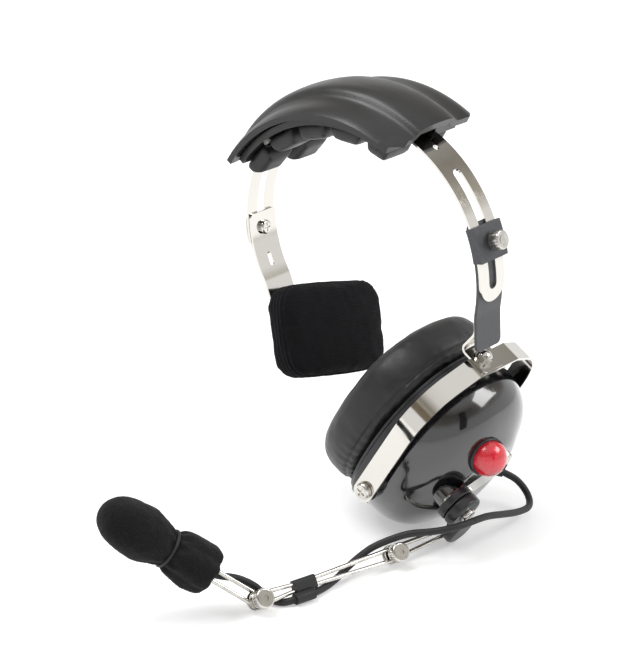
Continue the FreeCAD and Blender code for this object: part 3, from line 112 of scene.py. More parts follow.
# The floor, and what metal mirrors of the room from the ground up; lengths in metres
FLOOR_RADIUS = 6.0
FLOOR_EDGES = 96
FLOOR_COLOUR = (0.86, 0.86, 0.86)
FLOOR_GLOW = 0.35
ROOM_BANDS = [(0.0, (1.0, 1.0, 1.0)), (0.3, (1.0, 1.0, 1.0)), (0.42, (0.5, 0.47, 0.41)),
              (0.62, (0.3, 0.28, 0.25)), (0.78, (0.85, 0.84, 0.82)), (1.0, (1.0, 1.0, 1.0))]
CAMERA_CLIP = (0.05, 50.0)


def axes(origin, x_axis, z_axis):
    """A frame at origin, in metres, with its x and z along the two directions."""
    z = Vector(z_axis).normalized()
    x = Vector(x_axis)
    x = (x - z * x.dot(z)).normalized()
    turn = Matrix((x, z.cross(x), z)).transposed().to_4x4()
    return Matrix.Translation(Vector(origin)) @ turn


def joint_place(name):
    """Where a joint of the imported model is, and its axis."""
    return Vector(JOINTS[name]["pos_m"]), Vector(JOINTS[name]["axis"])


def frame_of_cup():
    origin, _ = joint_place("cup_tilt")
    return Matrix.Translation(origin) @ Matrix.Rotation(math.radians(CUP_LEAN), 4, "Y")


def frame_of_pad():
    origin, normal = joint_place("temple_pad_swivel")
    return axes(origin, (0, 1, 0), normal) @ Matrix.Rotation(math.radians(PAD_ROLL), 4, "Z")


def frame_of_link():
    rear, normal = joint_place("rear_elbow")
    front, _ = joint_place("front_elbow")
    return axes(rear, front - rear, normal)


def frame_of_mic():
    front, normal = joint_place("front_elbow")
    return axes(front, Vector(MIC_END) * MM - front, normal)


CUP = frame_of_cup()
PAD = frame_of_pad()
LINK = frame_of_link()
MIC = frame_of_mic()


def at(place, point):
    """A point given in millimetres in a piece's own frame."""
    return place @ (Vector(point) * MM)


# Small tools for meshes

def pick(piece):
    """Select only this piece and make it the active one."""
    if bpy.context.object and bpy.context.object.mode != "OBJECT":
        bpy.ops.object.mode_set(mode="OBJECT")
    for other in bpy.context.scene.objects:
        other.select_set(False)
    piece.select_set(True)
    bpy.context.view_layer.objects.active = piece


def copy_of(node, name):
    """A mesh of its own made from a CAD node, its doubles merged, as the start of a soft piece."""
    piece = bpy.data.objects.new(name, frame["nodes"][node].data.copy())
    bpy.context.scene.collection.objects.link(piece)
    piece.data.materials.clear()
    pick(piece)
    bpy.ops.object.mode_set(mode="EDIT")
    bpy.ops.mesh.select_all(action="SELECT")
    bpy.ops.mesh.remove_doubles(threshold=0.01 * MM)
    bpy.ops.mesh.normals_make_consistent(inside=False)
    bpy.ops.object.mode_set(mode="OBJECT")
    return piece


def finish_with(piece, kind, **settings):
    """Add a modifier with these settings and apply it."""
    modifier = piece.modifiers.new(kind.lower(), kind)
    for name, value in settings.items():
        setattr(modifier, name, value)
    pick(piece)
    bpy.ops.object.modifier_apply(modifier=modifier.name)


def remesh(piece, voxel):
    finish_with(piece, "REMESH", mode="VOXEL", voxel_size=voxel * MM)


def subdivide(piece, levels):
    finish_with(piece, "SUBSURF", levels=levels, render_levels=levels)


def smooth(piece):
    pick(piece)
    bpy.ops.object.shade_smooth()


def reshape(piece, place, move):
    """Move each point by a rule, in millimetres in a piece's own frame: point and normal in, point out."""
    back = place.inverted()
    turn = back.to_3x3()
    points = [(back @ vertex.co) / MM for vertex in piece.data.vertices]
    normals = [(turn @ normal.vector).normalized() for normal in piece.data.vertex_normals]
    row = []
    for point, normal in zip(points, normals):
        row.extend(at(place, move(point, normal)))
    piece.data.vertices.foreach_set("co", row)
    piece.data.update()


def local_box(node, place):
    """Lowest and highest corner of a CAD node in a piece's own frame, in millimetres."""
    back = place.inverted()
    points = [(back @ vertex.co) / MM for vertex in frame["nodes"][node].data.vertices]
    low = Vector([min(p[i] for p in points) for i in range(3)])
    high = Vector([max(p[i] for p in points) for i in range(3)])
    return low, high


def puff(piece, voxel, pressure, cap, shrink):
    """Remesh a cushion and blow it up, as foam fills its cover; no point moves further than the cap."""
    remesh(piece, voxel)
    reshape(piece, Matrix.Identity(4), lambda point, normal: point - normal * shrink)
    start = [vertex.co.copy() for vertex in piece.data.vertices]
    cloth = piece.modifiers.new("air", "CLOTH")
    cloth.settings.use_pressure = True
    cloth.settings.uniform_pressure_force = pressure
    cloth.settings.effector_weights.gravity = 0
    cloth.settings.quality = AIR_QUALITY
    cloth.settings.mass = COVER_MASS
    for step in range(1, AIR_FRAMES + 1):
        bpy.context.scene.frame_set(step)
    pick(piece)
    bpy.ops.object.modifier_apply(modifier=cloth.name)
    for vertex, before in zip(piece.data.vertices, start):
        moved = vertex.co - before
        if moved.length > cap * MM:
            vertex.co = before + moved * (cap * MM / moved.length)
    piece.data.update()
    bpy.context.scene.frame_set(1)


def bell(value, middle, width):
    """A smooth bump of height 1 about a middle value."""
    return math.exp(-((value - middle) / width) ** 2)


def ease(value, low, high):
    """0 below low, 1 above high, and a smooth step between."""
    share = min(1.0, max(0.0, (value - low) / (high - low)))
    return share * share * (3 - 2 * share)


def noise_round(angle, size, layer):
    """Smooth noise that closes on itself once round a piece; a larger size gives more lumps."""
    return noise.noise(Vector((math.cos(angle) * size, math.sin(angle) * size, layer)))


# Small tools for materials

def fill_ramp(ramp, stops):
    """Give a colour ramp its stops, a row of (place, colour)."""
    while len(ramp.elements) < len(stops):
        ramp.elements.new(0.5)
    for element, (position, shade) in zip(ramp.elements, stops):
        element.position = position
        element.color = (*shade, 1.0)


class Finish:
    """A material under construction, with short calls for its nodes."""

    def __init__(self, name, sockets):
        self.material = bpy.data.materials.new(name)
        self.material.use_nodes = True
        self.tree = self.material.node_tree
        self.shader = self.tree.nodes["Principled BSDF"]
        for socket, value in sockets.items():
            self.shader.inputs[socket].default_value = value
        self.place = self.add("ShaderNodeTexCoord").outputs["Object"]

    def add(self, kind, inputs=None, **settings):
        """Add a node; an input is linked where it is given a socket, and set where it is given a value."""
        node = self.tree.nodes.new(kind)
        for name, value in settings.items():
            setattr(node, name, value)
        for name, value in (inputs or {}).items():
            if isinstance(value, bpy.types.NodeSocket):
                self.tree.links.new(value, node.inputs[name])
            else:
                node.inputs[name].default_value = value
        return node

    def local(self, place):
        """Object coordinates turned into a piece's own frame, in metres."""
        back = place.inverted()
        inputs = {"Vector": self.place, "Location": back.to_translation(), "Rotation": back.to_euler()}
        return self.add("ShaderNodeMapping", inputs).outputs["Vector"]

    def noise(self, per_metre, detail=3.0, rough=0.55, distort=0.0):
        inputs = {"Vector": self.place, "Scale": per_metre, "Detail": detail, "Roughness": rough,
                  "Distortion": distort}
        return self.add("ShaderNodeTexNoise", inputs).outputs["Fac"]

    def cells(self, per_metre, feature="F1"):
        inputs = {"Vector": self.place, "Scale": per_metre}
        return self.add("ShaderNodeTexVoronoi", inputs, feature=feature).outputs["Distance"]

    def waves(self, per_metre, where, direction, distort):
        inputs = {"Vector": where, "Scale": per_metre, "Distortion": distort, "Detail": 1.0}
        return self.add("ShaderNodeTexWave", inputs, bands_direction=direction).outputs["Fac"]

    def product(self, first, second):
        node = self.add("ShaderNodeMath", operation="MULTIPLY")
        self.tree.links.new(first, node.inputs[0])
        self.tree.links.new(second, node.inputs[1])
        return node.outputs["Value"]

    def relief(self, height, depth, strength, below=None):
        """Relief of this depth in millimetres, laid on another relief where one is given."""
        inputs = {"Height": height, "Distance": depth * MM, "Strength": strength}
        if below is not None:
            inputs["Normal"] = below
        return self.add("ShaderNodeBump", inputs).outputs["Normal"]

    def set(self, socket, value):
        self.tree.links.new(value, self.shader.inputs[socket])

    def paint(self, value, colour, shares):
        """Colour the piece along a value; each place in shares says how much lighter the colour is there."""
        stops = []
        for place, share in shares.items():
            stops.append((place, [min(1.0, channel * share) for channel in colour]))
        ramp = self.add("ShaderNodeValToRGB", {"Fac": value})
        fill_ramp(ramp.color_ramp, stops)
        self.set("Base Color", ramp.outputs["Color"])

    def roughen(self, value, low, high, over):
        """Roughness from low to high, spread over this stretch of a value."""
        inputs = {"Value": value, "From Min": over[0], "From Max": over[1], "To Min": low, "To Max": high}
        self.set("Roughness", self.add("ShaderNodeMapRange", inputs).outputs["Result"])

    def emboss(self, height, depth, strength, below=None):
        """Lay a relief on the piece."""
        self.set("Normal", self.relief(height, depth, strength, below))


def polished_strip(looks):
    """Bright plated strip: nearly a mirror, with faint waves from rolling and fine rub marks."""
    made = Finish("polished_strip", {"Metallic": 1.0, "Base Color": (*looks.chrome_colour, 1), "IOR": 2.4})
    rubs = made.noise(180, detail=6.0, rough=0.7)
    made.roughen(rubs, looks.chrome_roughness * 0.6, looks.chrome_roughness * 2.0, over=(0.3, 0.75))
    waves = made.relief(made.noise(22, detail=1.0), depth=0.25, strength=0.4)
    made.emboss(made.noise(900, detail=2.0), depth=0.004, strength=0.5, below=waves)
    return made.material


def turned_metal(looks):
    """Plated screws, knobs and wires: bright, with a fine grain and slightly dulled patches."""
    made = Finish("turned_metal", {"Metallic": 1.0})
    patches = made.noise(240, detail=4.0)
    made.paint(patches, looks.chrome_colour, {0.3: 0.72, 0.6: 1.0})
    made.roughen(patches, 0.24, 0.1, over=(0.25, 0.7))
    made.emboss(made.noise(2400, detail=2.0), depth=0.01, strength=0.5)
    return made.material


def dark_steel(looks):
    """Blackened steel: satin grey black with a fine rolled grain and brighter rub marks."""
    made = Finish("dark_steel", {"Metallic": 0.35})
    grain = made.noise(420, detail=5.0, rough=0.65)
    made.paint(grain, looks.dark_steel_colour, {0.25: 0.8, 0.5: 1.0, 0.8: 1.35})
    made.roughen(grain, 0.36, 0.56, over=(0.3, 0.7))
    made.emboss(made.noise(1800), depth=0.012, strength=0.6)
    return made.material


def crown_plastic(looks):
    """Soft touch moulding of the crown pad: fine grain, dull, a little greyer where it has been rubbed."""
    made = Finish("crown_plastic", {"Specular IOR Level": 0.5})
    rubbed = made.noise(38, detail=4.0, rough=0.6, distort=0.4)
    made.paint(rubbed, looks.crown_colour, {0.3: 0.75, 0.55: 1.0, 0.85: 1.5})
    made.roughen(rubbed, 0.26, 0.42, over=(0.3, 0.7))
    soft = made.relief(made.noise(70, detail=2.0), depth=0.25, strength=0.35)
    made.emboss(made.cells(1500), depth=0.035, strength=0.5, below=soft)
    return made.material


def satin_plastic(looks):
    """Moulded black plastic of the rim, the mount and the inner parts."""
    made = Finish("satin_plastic", {"Specular IOR Level": 0.5})
    rubbed = made.noise(90, detail=4.0)
    made.paint(rubbed, looks.plastic_colour, {0.3: 0.7, 0.8: 1.35})
    made.roughen(rubbed, 0.26, 0.44, over=(0.3, 0.7))
    made.emboss(made.cells(1100), depth=0.02, strength=0.4)
    return made.material


def gloss_plastic(looks):
    """Polished black shell: deep gloss, faint moulding waves and hairline rub marks."""
    made = Finish("gloss_plastic", {"Specular IOR Level": 0.6, "Coat Weight": 1.0, "Coat Roughness": 0.03,
                                    "Coat IOR": 1.55})
    dust = made.noise(1500, rough=0.7)
    made.paint(dust, looks.shell_colour, {0.62: 1.0, 0.8: 2.2})
    made.roughen(made.noise(160, detail=5.0, rough=0.7), 0.1, 0.28, over=(0.35, 0.75))
    made.emboss(made.noise(26, detail=1.0), depth=0.3, strength=0.12)
    return made.material


def button_plastic(looks):
    """Glossy red cap with a slight depth to its colour and small scuffs."""
    made = Finish("button_plastic", {"Specular IOR Level": 0.55, "Coat Weight": 0.8, "Coat Roughness": 0.05,
                                     "Subsurface Weight": 0.12, "Subsurface Radius": (0.003, 0.0006, 0.0004),
                                     "Subsurface Scale": 1.0})
    made.paint(made.noise(120, detail=4.0), looks.button_colour, {0.3: 0.72, 0.5: 1.0, 0.75: 1.2})
    made.roughen(made.noise(500, detail=4.0), 0.16, 0.34, over=(0.35, 0.7))
    made.emboss(made.noise(60, detail=2.0), depth=0.2, strength=0.25)
    return made.material


def leatherette(looks):
    """Soft black leatherette: pebbled grain, fine creases, a dull sheen where it is stretched, and colour
    with painted shade in the creases and a painted highlight on the raised folds.
    """
    made = Finish("leatherette", {"Specular IOR Level": 0.45, "Sheen Weight": 0.04, "Sheen Roughness": 0.5})
    folds = made.noise(85, detail=5.0, rough=0.65, distort=0.8)
    # Painted shade and highlight: the colour follows the height of the folds, darker in the creases and
    # lighter on the raised folds.
    made.paint(folds, looks.leather_colour, {0.25: 0.7, 0.55: 1.0, 0.85: 1.45})
    made.roughen(folds, 0.38, 0.54, over=(0.3, 0.7))
    creases = made.relief(folds, depth=0.35, strength=0.3)
    made.emboss(made.cells(1250), depth=0.07, strength=0.55, below=creases)
    return made.material


def knit(looks):
    """Black knit: columns of small stitches in the pad's own frame, with lint and a soft sheen; its colour
    holds painted shade between the stitches and is lighter on the stitch tops, partly lint and partly painted
    highlight.
    """
    made = Finish("knit", {"Specular IOR Level": 0.12, "Sheen Weight": 0.08, "Sheen Roughness": 0.6,
                           "Sheen Tint": (0.6, 0.6, 0.65, 1)})
    where = made.local(PAD)
    columns = made.waves(390, where, "X", distort=1.2)
    rows = made.waves(330, where, "Y", distort=1.6)
    stitches = made.product(columns, rows)
    lint = made.noise(900, detail=4.0, rough=0.7)
    # Painted shade between the stitches, where the relief is low; lighter on the stitch tops where lint lies,
    # partly lint and partly painted highlight.
    made.paint(made.product(stitches, lint), looks.knit_colour, {0.05: 0.45, 0.3: 1.0, 0.75: 1.7})
    made.roughen(lint, 0.8, 0.98, over=(0.3, 0.7))
    soft = made.relief(made.noise(140), depth=0.4, strength=0.4)
    made.emboss(stitches, depth=0.22, strength=0.8, below=soft)
    return made.material


def foam(looks):
    """Open black foam: small pits with ragged edges, their colour darker in the pits as painted shade and
    lighter on the walls between them as painted highlight.
    """
    made = Finish("foam", {"Specular IOR Level": 0.1, "Sheen Weight": 0.07, "Sheen Roughness": 0.7})
    ragged = made.noise(2100, rough=0.7)
    pits = made.product(made.cells(1350, feature="SMOOTH_F1"), ragged)
    # Painted shade in the sunken pits and painted highlight on the raised walls between them, following the
    # pits relief.
    made.paint(pits, looks.foam_colour, {0.08: 0.3, 0.3: 1.0, 0.6: 1.9})
    made.roughen(ragged, 0.85, 1.0, over=(0.3, 0.7))
    soft = made.relief(made.noise(260), depth=0.5, strength=0.5)
    made.emboss(pits, depth=0.4, strength=0.9, below=soft)
    return made.material


def block_rubber(looks):
    """Moulded soft rubber of the crown pad's blocks."""
    made = Finish("block_rubber", {"Specular IOR Level": 0.45})
    worn = made.noise(110, detail=4.0)
    made.paint(worn, looks.crown_colour, {0.3: 0.65, 0.8: 1.4})
    made.roughen(worn, 0.36, 0.58, over=(0.3, 0.7))
    made.emboss(made.cells(1300), depth=0.04, strength=0.5)
    return made.material


def jacket(looks):
    """Matte jacket of the lead and the clip: dull, faintly streaked, with dust in its grain."""
    made = Finish("jacket", {"Specular IOR Level": 0.4})
    dust = made.noise(1300, detail=4.0, rough=0.7)
    made.paint(dust, looks.jacket_colour, {0.3: 0.75, 0.55: 1.0, 0.85: 1.7})
    made.roughen(dust, 0.46, 0.66, over=(0.3, 0.7))
    made.emboss(made.noise(700), depth=0.05, strength=0.4)
    return made.material


def bare_cone(looks):
    """Grey paper cone and fibre board inside the cup."""
    made = Finish("bare_cone", {"Specular IOR Level": 0.3})
    fibres = made.noise(800, detail=6.0, rough=0.75)
    made.paint(fibres, PAPER_COLOUR, {0.3: 0.7, 0.75: 1.5})
    made.roughen(fibres, 0.7, 0.92, over=(0.3, 0.7))
    made.emboss(fibres, depth=0.08, strength=0.6)
    return made.material


# Which nodes keep their shape and take which finish
STEEL_NODES = {
    polished_strip: ["headband_strip", "temple_arm", "hanger_bracket", "stirrup", "boom_bracket"],
    turned_metal: ["temple_clamp_block", "temple_clamp_screw", "temple_pad_pin", "hanger_clamp_screw",
                   "hanger_thumb_nut", "swivel_pin", "swivel_nut", "pivot_screws", "pivot_washers",
                   "bracket_screws", "boom_pin", "root_wire", "link_wire", "link_washers", "link_screws",
                   "elbow_knob_rear", "elbow_knob_front", "mic_wire", "mic_capsule", "driver_screws",
                   "driver_magnet", "driver_frame", "button_spring", "crown_rivets"],
    dark_steel: ["hanger_strip", "hanger_clamp_block"],
}
PLASTIC_NODES = {
    crown_plastic: ["crown_cover", "crown_filler"],
    satin_plastic: ["cup_rim", "cushion_plate", "baffle_plate", "temple_pad_plate", "button_bezel",
                    "switch_body", "boom_mount", "boom_knuckle", "mic_housing", "jack_socket"],
    gloss_plastic: ["cup_dome"],
    button_plastic: ["button_cap"],
    jacket: ["lead_gland", "lead_clip", "muff_tie"],
    bare_cone: ["driver_cone", "terminal_board"],
}


def dress(nodes_by_finish, looks):
    """Give each CAD node its finish."""
    for recipe, names in nodes_by_finish.items():
        material = recipe(looks)
        for name in names:
            node = frame["nodes"][name]
            node.data.materials.clear()
            node.data.materials.append(material)


def shorten_spring():
    """Give the spring under the button a mesh of its own."""
    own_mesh(frame["nodes"]["button_spring"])


def settle(piece, material, body, slot, *nodes):
    """Finish a new piece: its material, the body that it rides on and the nodes that it stands for."""
    piece.data.materials.clear()
    piece.data.materials.append(material)
    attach(piece, body)
    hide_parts(*nodes)


# The soft pieces; their sizes are in millimetres

def make_crown_blocks(looks):
    """Two rows of soft blocks under the crown, rounded at their corners and slightly full."""
    piece = copy_of("crown_blocks", "crown_block_pads")
    puff(piece, voxel=1.5, pressure=2.0, cap=0.5, shrink=0.25)
    finish_with(piece, "SMOOTH", factor=0.5, iterations=3)
    subdivide(piece, 1)
    smooth(piece)
    settle(piece, block_rubber(looks), "headband", "pad_foam", "crown_blocks")


def make_temple_cushion(looks):
    """Cushion in a knit cover: crowned face, gusset with ribs, a welt along the face's edge."""
    low, high = local_box("temple_cushion", PAD)
    middle = (low + high) / 2
    half = (high - low) / 2
    piece = copy_of("temple_cushion", "temple_cushion_cover")
    puff(piece, voxel=2.6, pressure=looks.pad_pressure, cap=1.2, shrink=0.9)
    subdivide(piece, 2)
    rib_pitch, rib_height = 2.3, 0.28
    welt, welt_height, welt_width = high.z - 4.2, 0.35, 0.7
    groove, groove_depth, groove_width = welt - 1.5, 0.45, 0.6
    drawn_in = 0.7
    wrinkle_height = 0.5

    def shape(point, normal):
        side = 1 - ease(abs(normal.z), 0.35, 0.75)
        gusset = ease(point.z, low.z + 1.5, low.z + 4.0) * (1 - ease(point.z, welt - 2.5, welt - 1.0))
        rise = rib_height * math.cos(2 * math.pi * (point.z - low.z) / rib_pitch) * gusset
        rise += welt_height * bell(point.z, welt, welt_width)
        rise -= groove_depth * bell(point.z, groove, groove_width)
        moved = point + normal * (rise * side)
        along = max(0.0, 1 - ((point.x - middle.x) / half.x) ** 2)
        across = (point.y - middle.y) / half.y
        moved.y -= math.copysign(drawn_in * along * across ** 2, across)
        wrinkle = noise.noise(point * 0.09) * 0.8 + noise.noise(point * 0.22) * 0.3
        moved.z += ease(normal.z, 0.4, 0.9) * wrinkle * wrinkle_height
        return moved

    reshape(piece, PAD, shape)
    smooth(piece)
    settle(piece, knit(looks), "temple_pad", "knit_cloth", "temple_cushion")


def make_ear_cushion(looks):
    """Leatherette ring: full roll towards the head, a crease and gathered lip at the plate."""
    low, high = local_box("ear_cushion", CUP)
    centre = (low.z + high.z) / 2
    piece = copy_of("ear_cushion", "ear_cushion_cover")
    puff(piece, voxel=2.8, pressure=looks.pad_pressure, cap=1.6, shrink=0.9)
    subdivide(piece, 2)
    opening, roll = 33.0, 37.0
    lip, lip_depth, lip_width = high.x - 5.0, 0.9, 0.9
    gathers, gather_height, gather_above = 46, 0.3, 0.14
    folds, fold_height = 30, 0.22

    def shape(point, normal):
        around = math.atan2(point.y, point.z - centre)
        outside = ease(math.hypot(point.y, point.z - centre), opening, roll)
        inside = (1 - outside) * ease(point.x, low.x + 3, low.x + 8)
        gather = math.cos(gathers * around + 2.5 * math.sin(3 * around))
        fold = math.cos(folds * around + 2 * math.sin(4 * around))
        height = gather_height * bell(point.x, lip + 2.2, 2.4) + gather_above * bell(point.x, lip - 3.0, 3.5)
        loose = 0.5 + 0.5 * noise_round(around, 2.0, 0.0)
        swell = noise.noise(point * 0.05) * 0.55 + noise.noise(point * 0.13) * 0.2
        rise = loose * (height * gather * outside + fold_height * fold * inside)
        rise += swell * (1 - 0.5 * bell(point.x, lip, 3.0))
        rise -= lip_depth * bell(point.x, lip, lip_width) * outside
        return point + normal * rise

    reshape(piece, CUP, shape)
    smooth(piece)
    settle(piece, leatherette(looks), "cup", "black_leather", "ear_cushion")


def make_ear_cloth(looks):
    """Thin cloth over the speaker, held at its edge and slack between."""
    low, high = local_box("ear_cloth", CUP)
    centre = (low.z + high.z) / 2
    piece = copy_of("ear_cloth", "ear_cloth_disc")
    remesh(piece, 0.6)
    slack = 0.9

    def shape(point, normal):
        reach = math.hypot(point.y / high.y, (point.z - centre) / (high.z - centre))
        point.x -= slack * (1 - min(1.0, reach) ** 2) * (0.6 + 0.4 * noise.noise(point * 0.08))
        return point

    reshape(piece, CUP, shape)
    smooth(piece)
    settle(piece, foam(looks), "cup", "knit_cloth", "ear_cloth")


def make_foam_liner(looks):
    """Sound liner inside the shell."""
    piece = copy_of("foam_liner", "foam_liner_pad")
    remesh(piece, 1.4)
    reshape(piece, CUP, lambda point, normal: point + normal * (0.3 * noise.noise(point * 0.3) - 0.25))
    smooth(piece)
    settle(piece, foam(looks), "cup", "pad_foam", "foam_liner")


def make_muff(looks):
    """Microphone muff: a full outer end, a tied neck, and a slack boxy skirt with folds."""
    low, high = local_box("mic_muff", MIC)
    centre = (low.z + high.z) / 2
    piece = copy_of("mic_muff", "mic_muff_cover")
    remesh(piece, 1.1)
    neck = 53.0
    bore, skin = 7.0, 9.0
    corner_height, side_depth = 1.5, 1.1
    pleats, pleat_height, pleat_reach = 11, 0.75, 5.0
    hem_height, hem_lumps = 1.6, 1.6

    def shape(point, normal):
        around = math.atan2(point.z - centre, point.y)
        outside = ease(math.hypot(point.y, point.z - centre), bore, skin)
        skirt = 1 - ease(point.x, neck - 6, neck - 1)
        corner = abs(math.cos(2 * (around + 0.5)))
        pleat = math.cos(pleats * around + 1.5 * math.sin(2 * around + 1))
        gathered = bell(point.x, neck, pleat_reach) * ease(abs(point.x - neck), 0.9, 2.5)
        rise = skirt * (corner_height * corner - side_depth) + pleat_height * pleat * gathered
        rise += noise.noise(point * 0.12) * 0.7 + noise.noise(point * 0.45) * 0.22
        moved = point + normal * (rise * outside)
        hem = bell(point.x, low.x, 3.0) * outside
        moved.x -= hem_height * hem * noise_round(around, hem_lumps, 2.0)
        return moved

    reshape(piece, MIC, shape)
    subdivide(piece, 1)
    smooth(piece)
    settle(piece, foam(looks), "mic_arm", "muff_foam", "mic_muff")


# The lead

def lead_stretch(part, points, material, body):
    """One stretch of the lead as a smooth line through its given route."""
    line = bpy.data.curves.new("lead_line_" + part, "CURVE")
    line.dimensions = "3D"
    line.bevel_depth = LEAD_RADIUS * MM
    line.bevel_resolution = 5
    line.resolution_u = 10
    line.use_fill_caps = True
    spline = line.splines.new("NURBS")
    spline.points.add(len(points) - 1)
    for point, place in zip(spline.points, points):
        point.co = (*place, 1.0)
    spline.order_u = 3
    spline.use_endpoint_u = True
    piece = bpy.data.objects.new(line.name, line)
    bpy.context.scene.collection.objects.link(piece)
    settle(piece, material, body, "black_rubber", "lead_" + part)


def make_lead(looks):
    """The lead from the gland to the muff, in one stretch for each body that it passes."""
    turn = CUP.to_3x3()
    gland = axes(at(CUP, GLAND_AT), turn @ Vector((0, 0, 1)), turn @ Vector(GLAND_OUT))
    cup = [at(gland, (0, 0, GLAND_TIP))] + [at(CUP, p) for p in LEAD_CUP]
    root = [at(CUP, p) for p in LEAD_ROOT]
    link = [root[-1]] + [at(LINK, p) for p in LEAD_LINK]
    mic = [link[-1]] + [at(MIC, p) for p in LEAD_MIC]
    material = jacket(looks)
    lead_stretch("cup", cup, material, "cup")
    lead_stretch("root", root, material, "boom_root")
    lead_stretch("link", link, material, "boom_link")
    lead_stretch("mic", mic, material, "mic_arm")


# The studio

def make_camera():
    azimuth = math.radians(CAMERA_AZIMUTH)
    height = math.radians(CAMERA_HEIGHT)
    right = Vector((math.cos(azimuth), math.sin(azimuth), 0))
    level = Vector((math.sin(azimuth), -math.cos(azimuth), 0))
    back = level * math.cos(height) + Vector((0, 0, math.sin(height)))
    up = back.cross(right)
    focal = PIXELS_PER_MM * CAMERA_DISTANCE
    aside = (HEAD_CENTRE_PIXEL[0] - PICTURE[0] / 2) / focal
    above = (PICTURE[1] / 2 - HEAD_CENTRE_PIXEL[1]) / focal
    place = Vector(HEAD_CENTRE) + (back - right * aside - up * above) * CAMERA_DISTANCE
    data = bpy.data.cameras.new("studio_camera")
    data.sensor_width = SENSOR
    data.lens = focal * SENSOR / max(PICTURE)
    data.clip_start, data.clip_end = CAMERA_CLIP
    camera = bpy.data.objects.new("studio_camera", data)
    bpy.context.scene.collection.objects.link(camera)
    camera.location = place * MM
    camera.rotation_euler = back.to_track_quat("Z", "Y").to_euler()
    bpy.context.scene.camera = camera


def seen_as_backdrop(tree):
    """1 for rays from the camera and those that metal and glass send on, 0 for light on the object."""
    path = tree.nodes.new("ShaderNodeLightPath")
    total = path.outputs["Is Camera Ray"]
    for ray in ("Is Glossy Ray", "Is Transmission Ray"):
        both = tree.nodes.new("ShaderNodeMath")
        both.operation = "MAXIMUM"
        tree.links.new(total, both.inputs[0])
        tree.links.new(path.outputs[ray], both.inputs[1])
        total = both.outputs["Value"]
    return total


def make_floor():
    """A wide pale floor that stays white in the picture and keeps the headset's shadow."""
    bpy.ops.mesh.primitive_circle_add(vertices=FLOOR_EDGES, radius=FLOOR_RADIUS, fill_type="NGON",
                                      location=(0, 0, 0))
    floor = bpy.context.object
    floor.name = "floor"
    made = Finish("floor", {"Base Color": (*FLOOR_COLOUR, 1), "Roughness": 0.5, "Specular IOR Level": 0.2,
                            "Emission Color": (1, 1, 1, 1)})
    glow = made.add("ShaderNodeMath", operation="MULTIPLY")
    made.tree.links.new(seen_as_backdrop(made.tree), glow.inputs[0])
    glow.inputs[1].default_value = FLOOR_GLOW
    made.set("Emission Strength", glow.outputs["Value"])
    floor.data.materials.append(made.material)


def make_world(looks):
    """Light from a soft white room; seen directly or in metal it is white, with a greyer band high up."""
    world = bpy.data.worlds.new("studio_world")
    bpy.context.scene.world = world
    world.use_nodes = True
    tree = world.node_tree
    tree.nodes.clear()
    where = tree.nodes.new("ShaderNodeTexCoord")
    split = tree.nodes.new("ShaderNodeSeparateXYZ")
    tree.links.new(where.outputs["Generated"], split.inputs["Vector"])
    height = tree.nodes.new("ShaderNodeValToRGB")
    fill_ramp(height.color_ramp, ROOM_BANDS)
    tree.links.new(split.outputs["Z"], height.inputs["Fac"])
    room = tree.nodes.new("ShaderNodeBackground")
    room.inputs["Strength"].default_value = looks.room_light
    backdrop = tree.nodes.new("ShaderNodeBackground")
    backdrop.inputs["Strength"].default_value = 1.0
    tree.links.new(height.outputs["Color"], backdrop.inputs["Color"])
    mixed = tree.nodes.new("ShaderNodeMixShader")
    out = tree.nodes.new("ShaderNodeOutputWorld")
    tree.links.new(seen_as_backdrop(tree), mixed.inputs["Fac"])
    tree.links.new(room.outputs["Background"], mixed.inputs[1])
    tree.links.new(backdrop.outputs["Background"], mixed.inputs[2])
    tree.links.new(mixed.outputs["Shader"], out.inputs["Surface"])


def make_card(name, place, aim, size, shade):
    """A card that no camera sees, and that bright metal mirrors as a dark or warm band."""
    bpy.ops.mesh.primitive_plane_add(size=1, location=place)
    card = bpy.context.object
    card.name = name
    card.scale = (*size, 1)
    card.rotation_euler = (Vector(aim) - Vector(place)).to_track_quat("Z", "Y").to_euler()
    pick(card)
    bpy.ops.object.transform_apply(location=True, rotation=True, scale=True)
    made = Finish(name, {"Base Color": (*shade, 1), "Roughness": 0.9})
    card.data.materials.append(made.material)
    card.visible_camera = False


def make_lamp(name, place, aim, size, power):
    data = bpy.data.lights.new(name, "AREA")
    data.shape = "RECTANGLE"
    data.size, data.size_y = size
    data.energy = power
    lamp = bpy.data.objects.new(name, data)
    bpy.context.scene.collection.objects.link(lamp)
    lamp.location = place
    lamp.rotation_euler = (Vector(place) - Vector(aim)).to_track_quat("Z", "Y").to_euler()


def make_stage(looks):
    """Floor, room, lamps, cards and camera; places and sizes in metres."""
    make_floor()
    make_world(looks)
    make_lamp("key_lamp", place=(-0.6, -0.5, 1.7), aim=(0, 0, 0.1), size=(1.2, 0.9), power=looks.key_light)
    make_lamp("rear_lamp", place=(1.1, 0.9, 1.2), aim=(0, 0, 0.1), size=(0.9, 0.7), power=looks.rear_light)
    make_card("dark_card", place=(-0.9, -0.55, 0.42), aim=(0, 0, 0.12), size=(0.28, 0.8),
              shade=(0.02, 0.02, 0.022))
    make_card("warm_card", place=(-0.15, -1.25, 0.7), aim=(0, 0, 0.12), size=(0.8, 0.3),
              shade=(0.2, 0.16, 0.11))
    make_card("side_card", place=(1.0, -0.25, 0.5), aim=(0, 0, 0.15), size=(0.25, 0.7),
              shade=(0.03, 0.03, 0.033))
    make_camera()
    bpy.context.scene.view_settings.view_transform = "Standard"


# The add-on's parts

def tint(name, description, default):
    return bpy.props.FloatVectorProperty(name=name, description=description, default=default, subtype="COLOR",
                                         size=3, min=0.0, max=1.0)


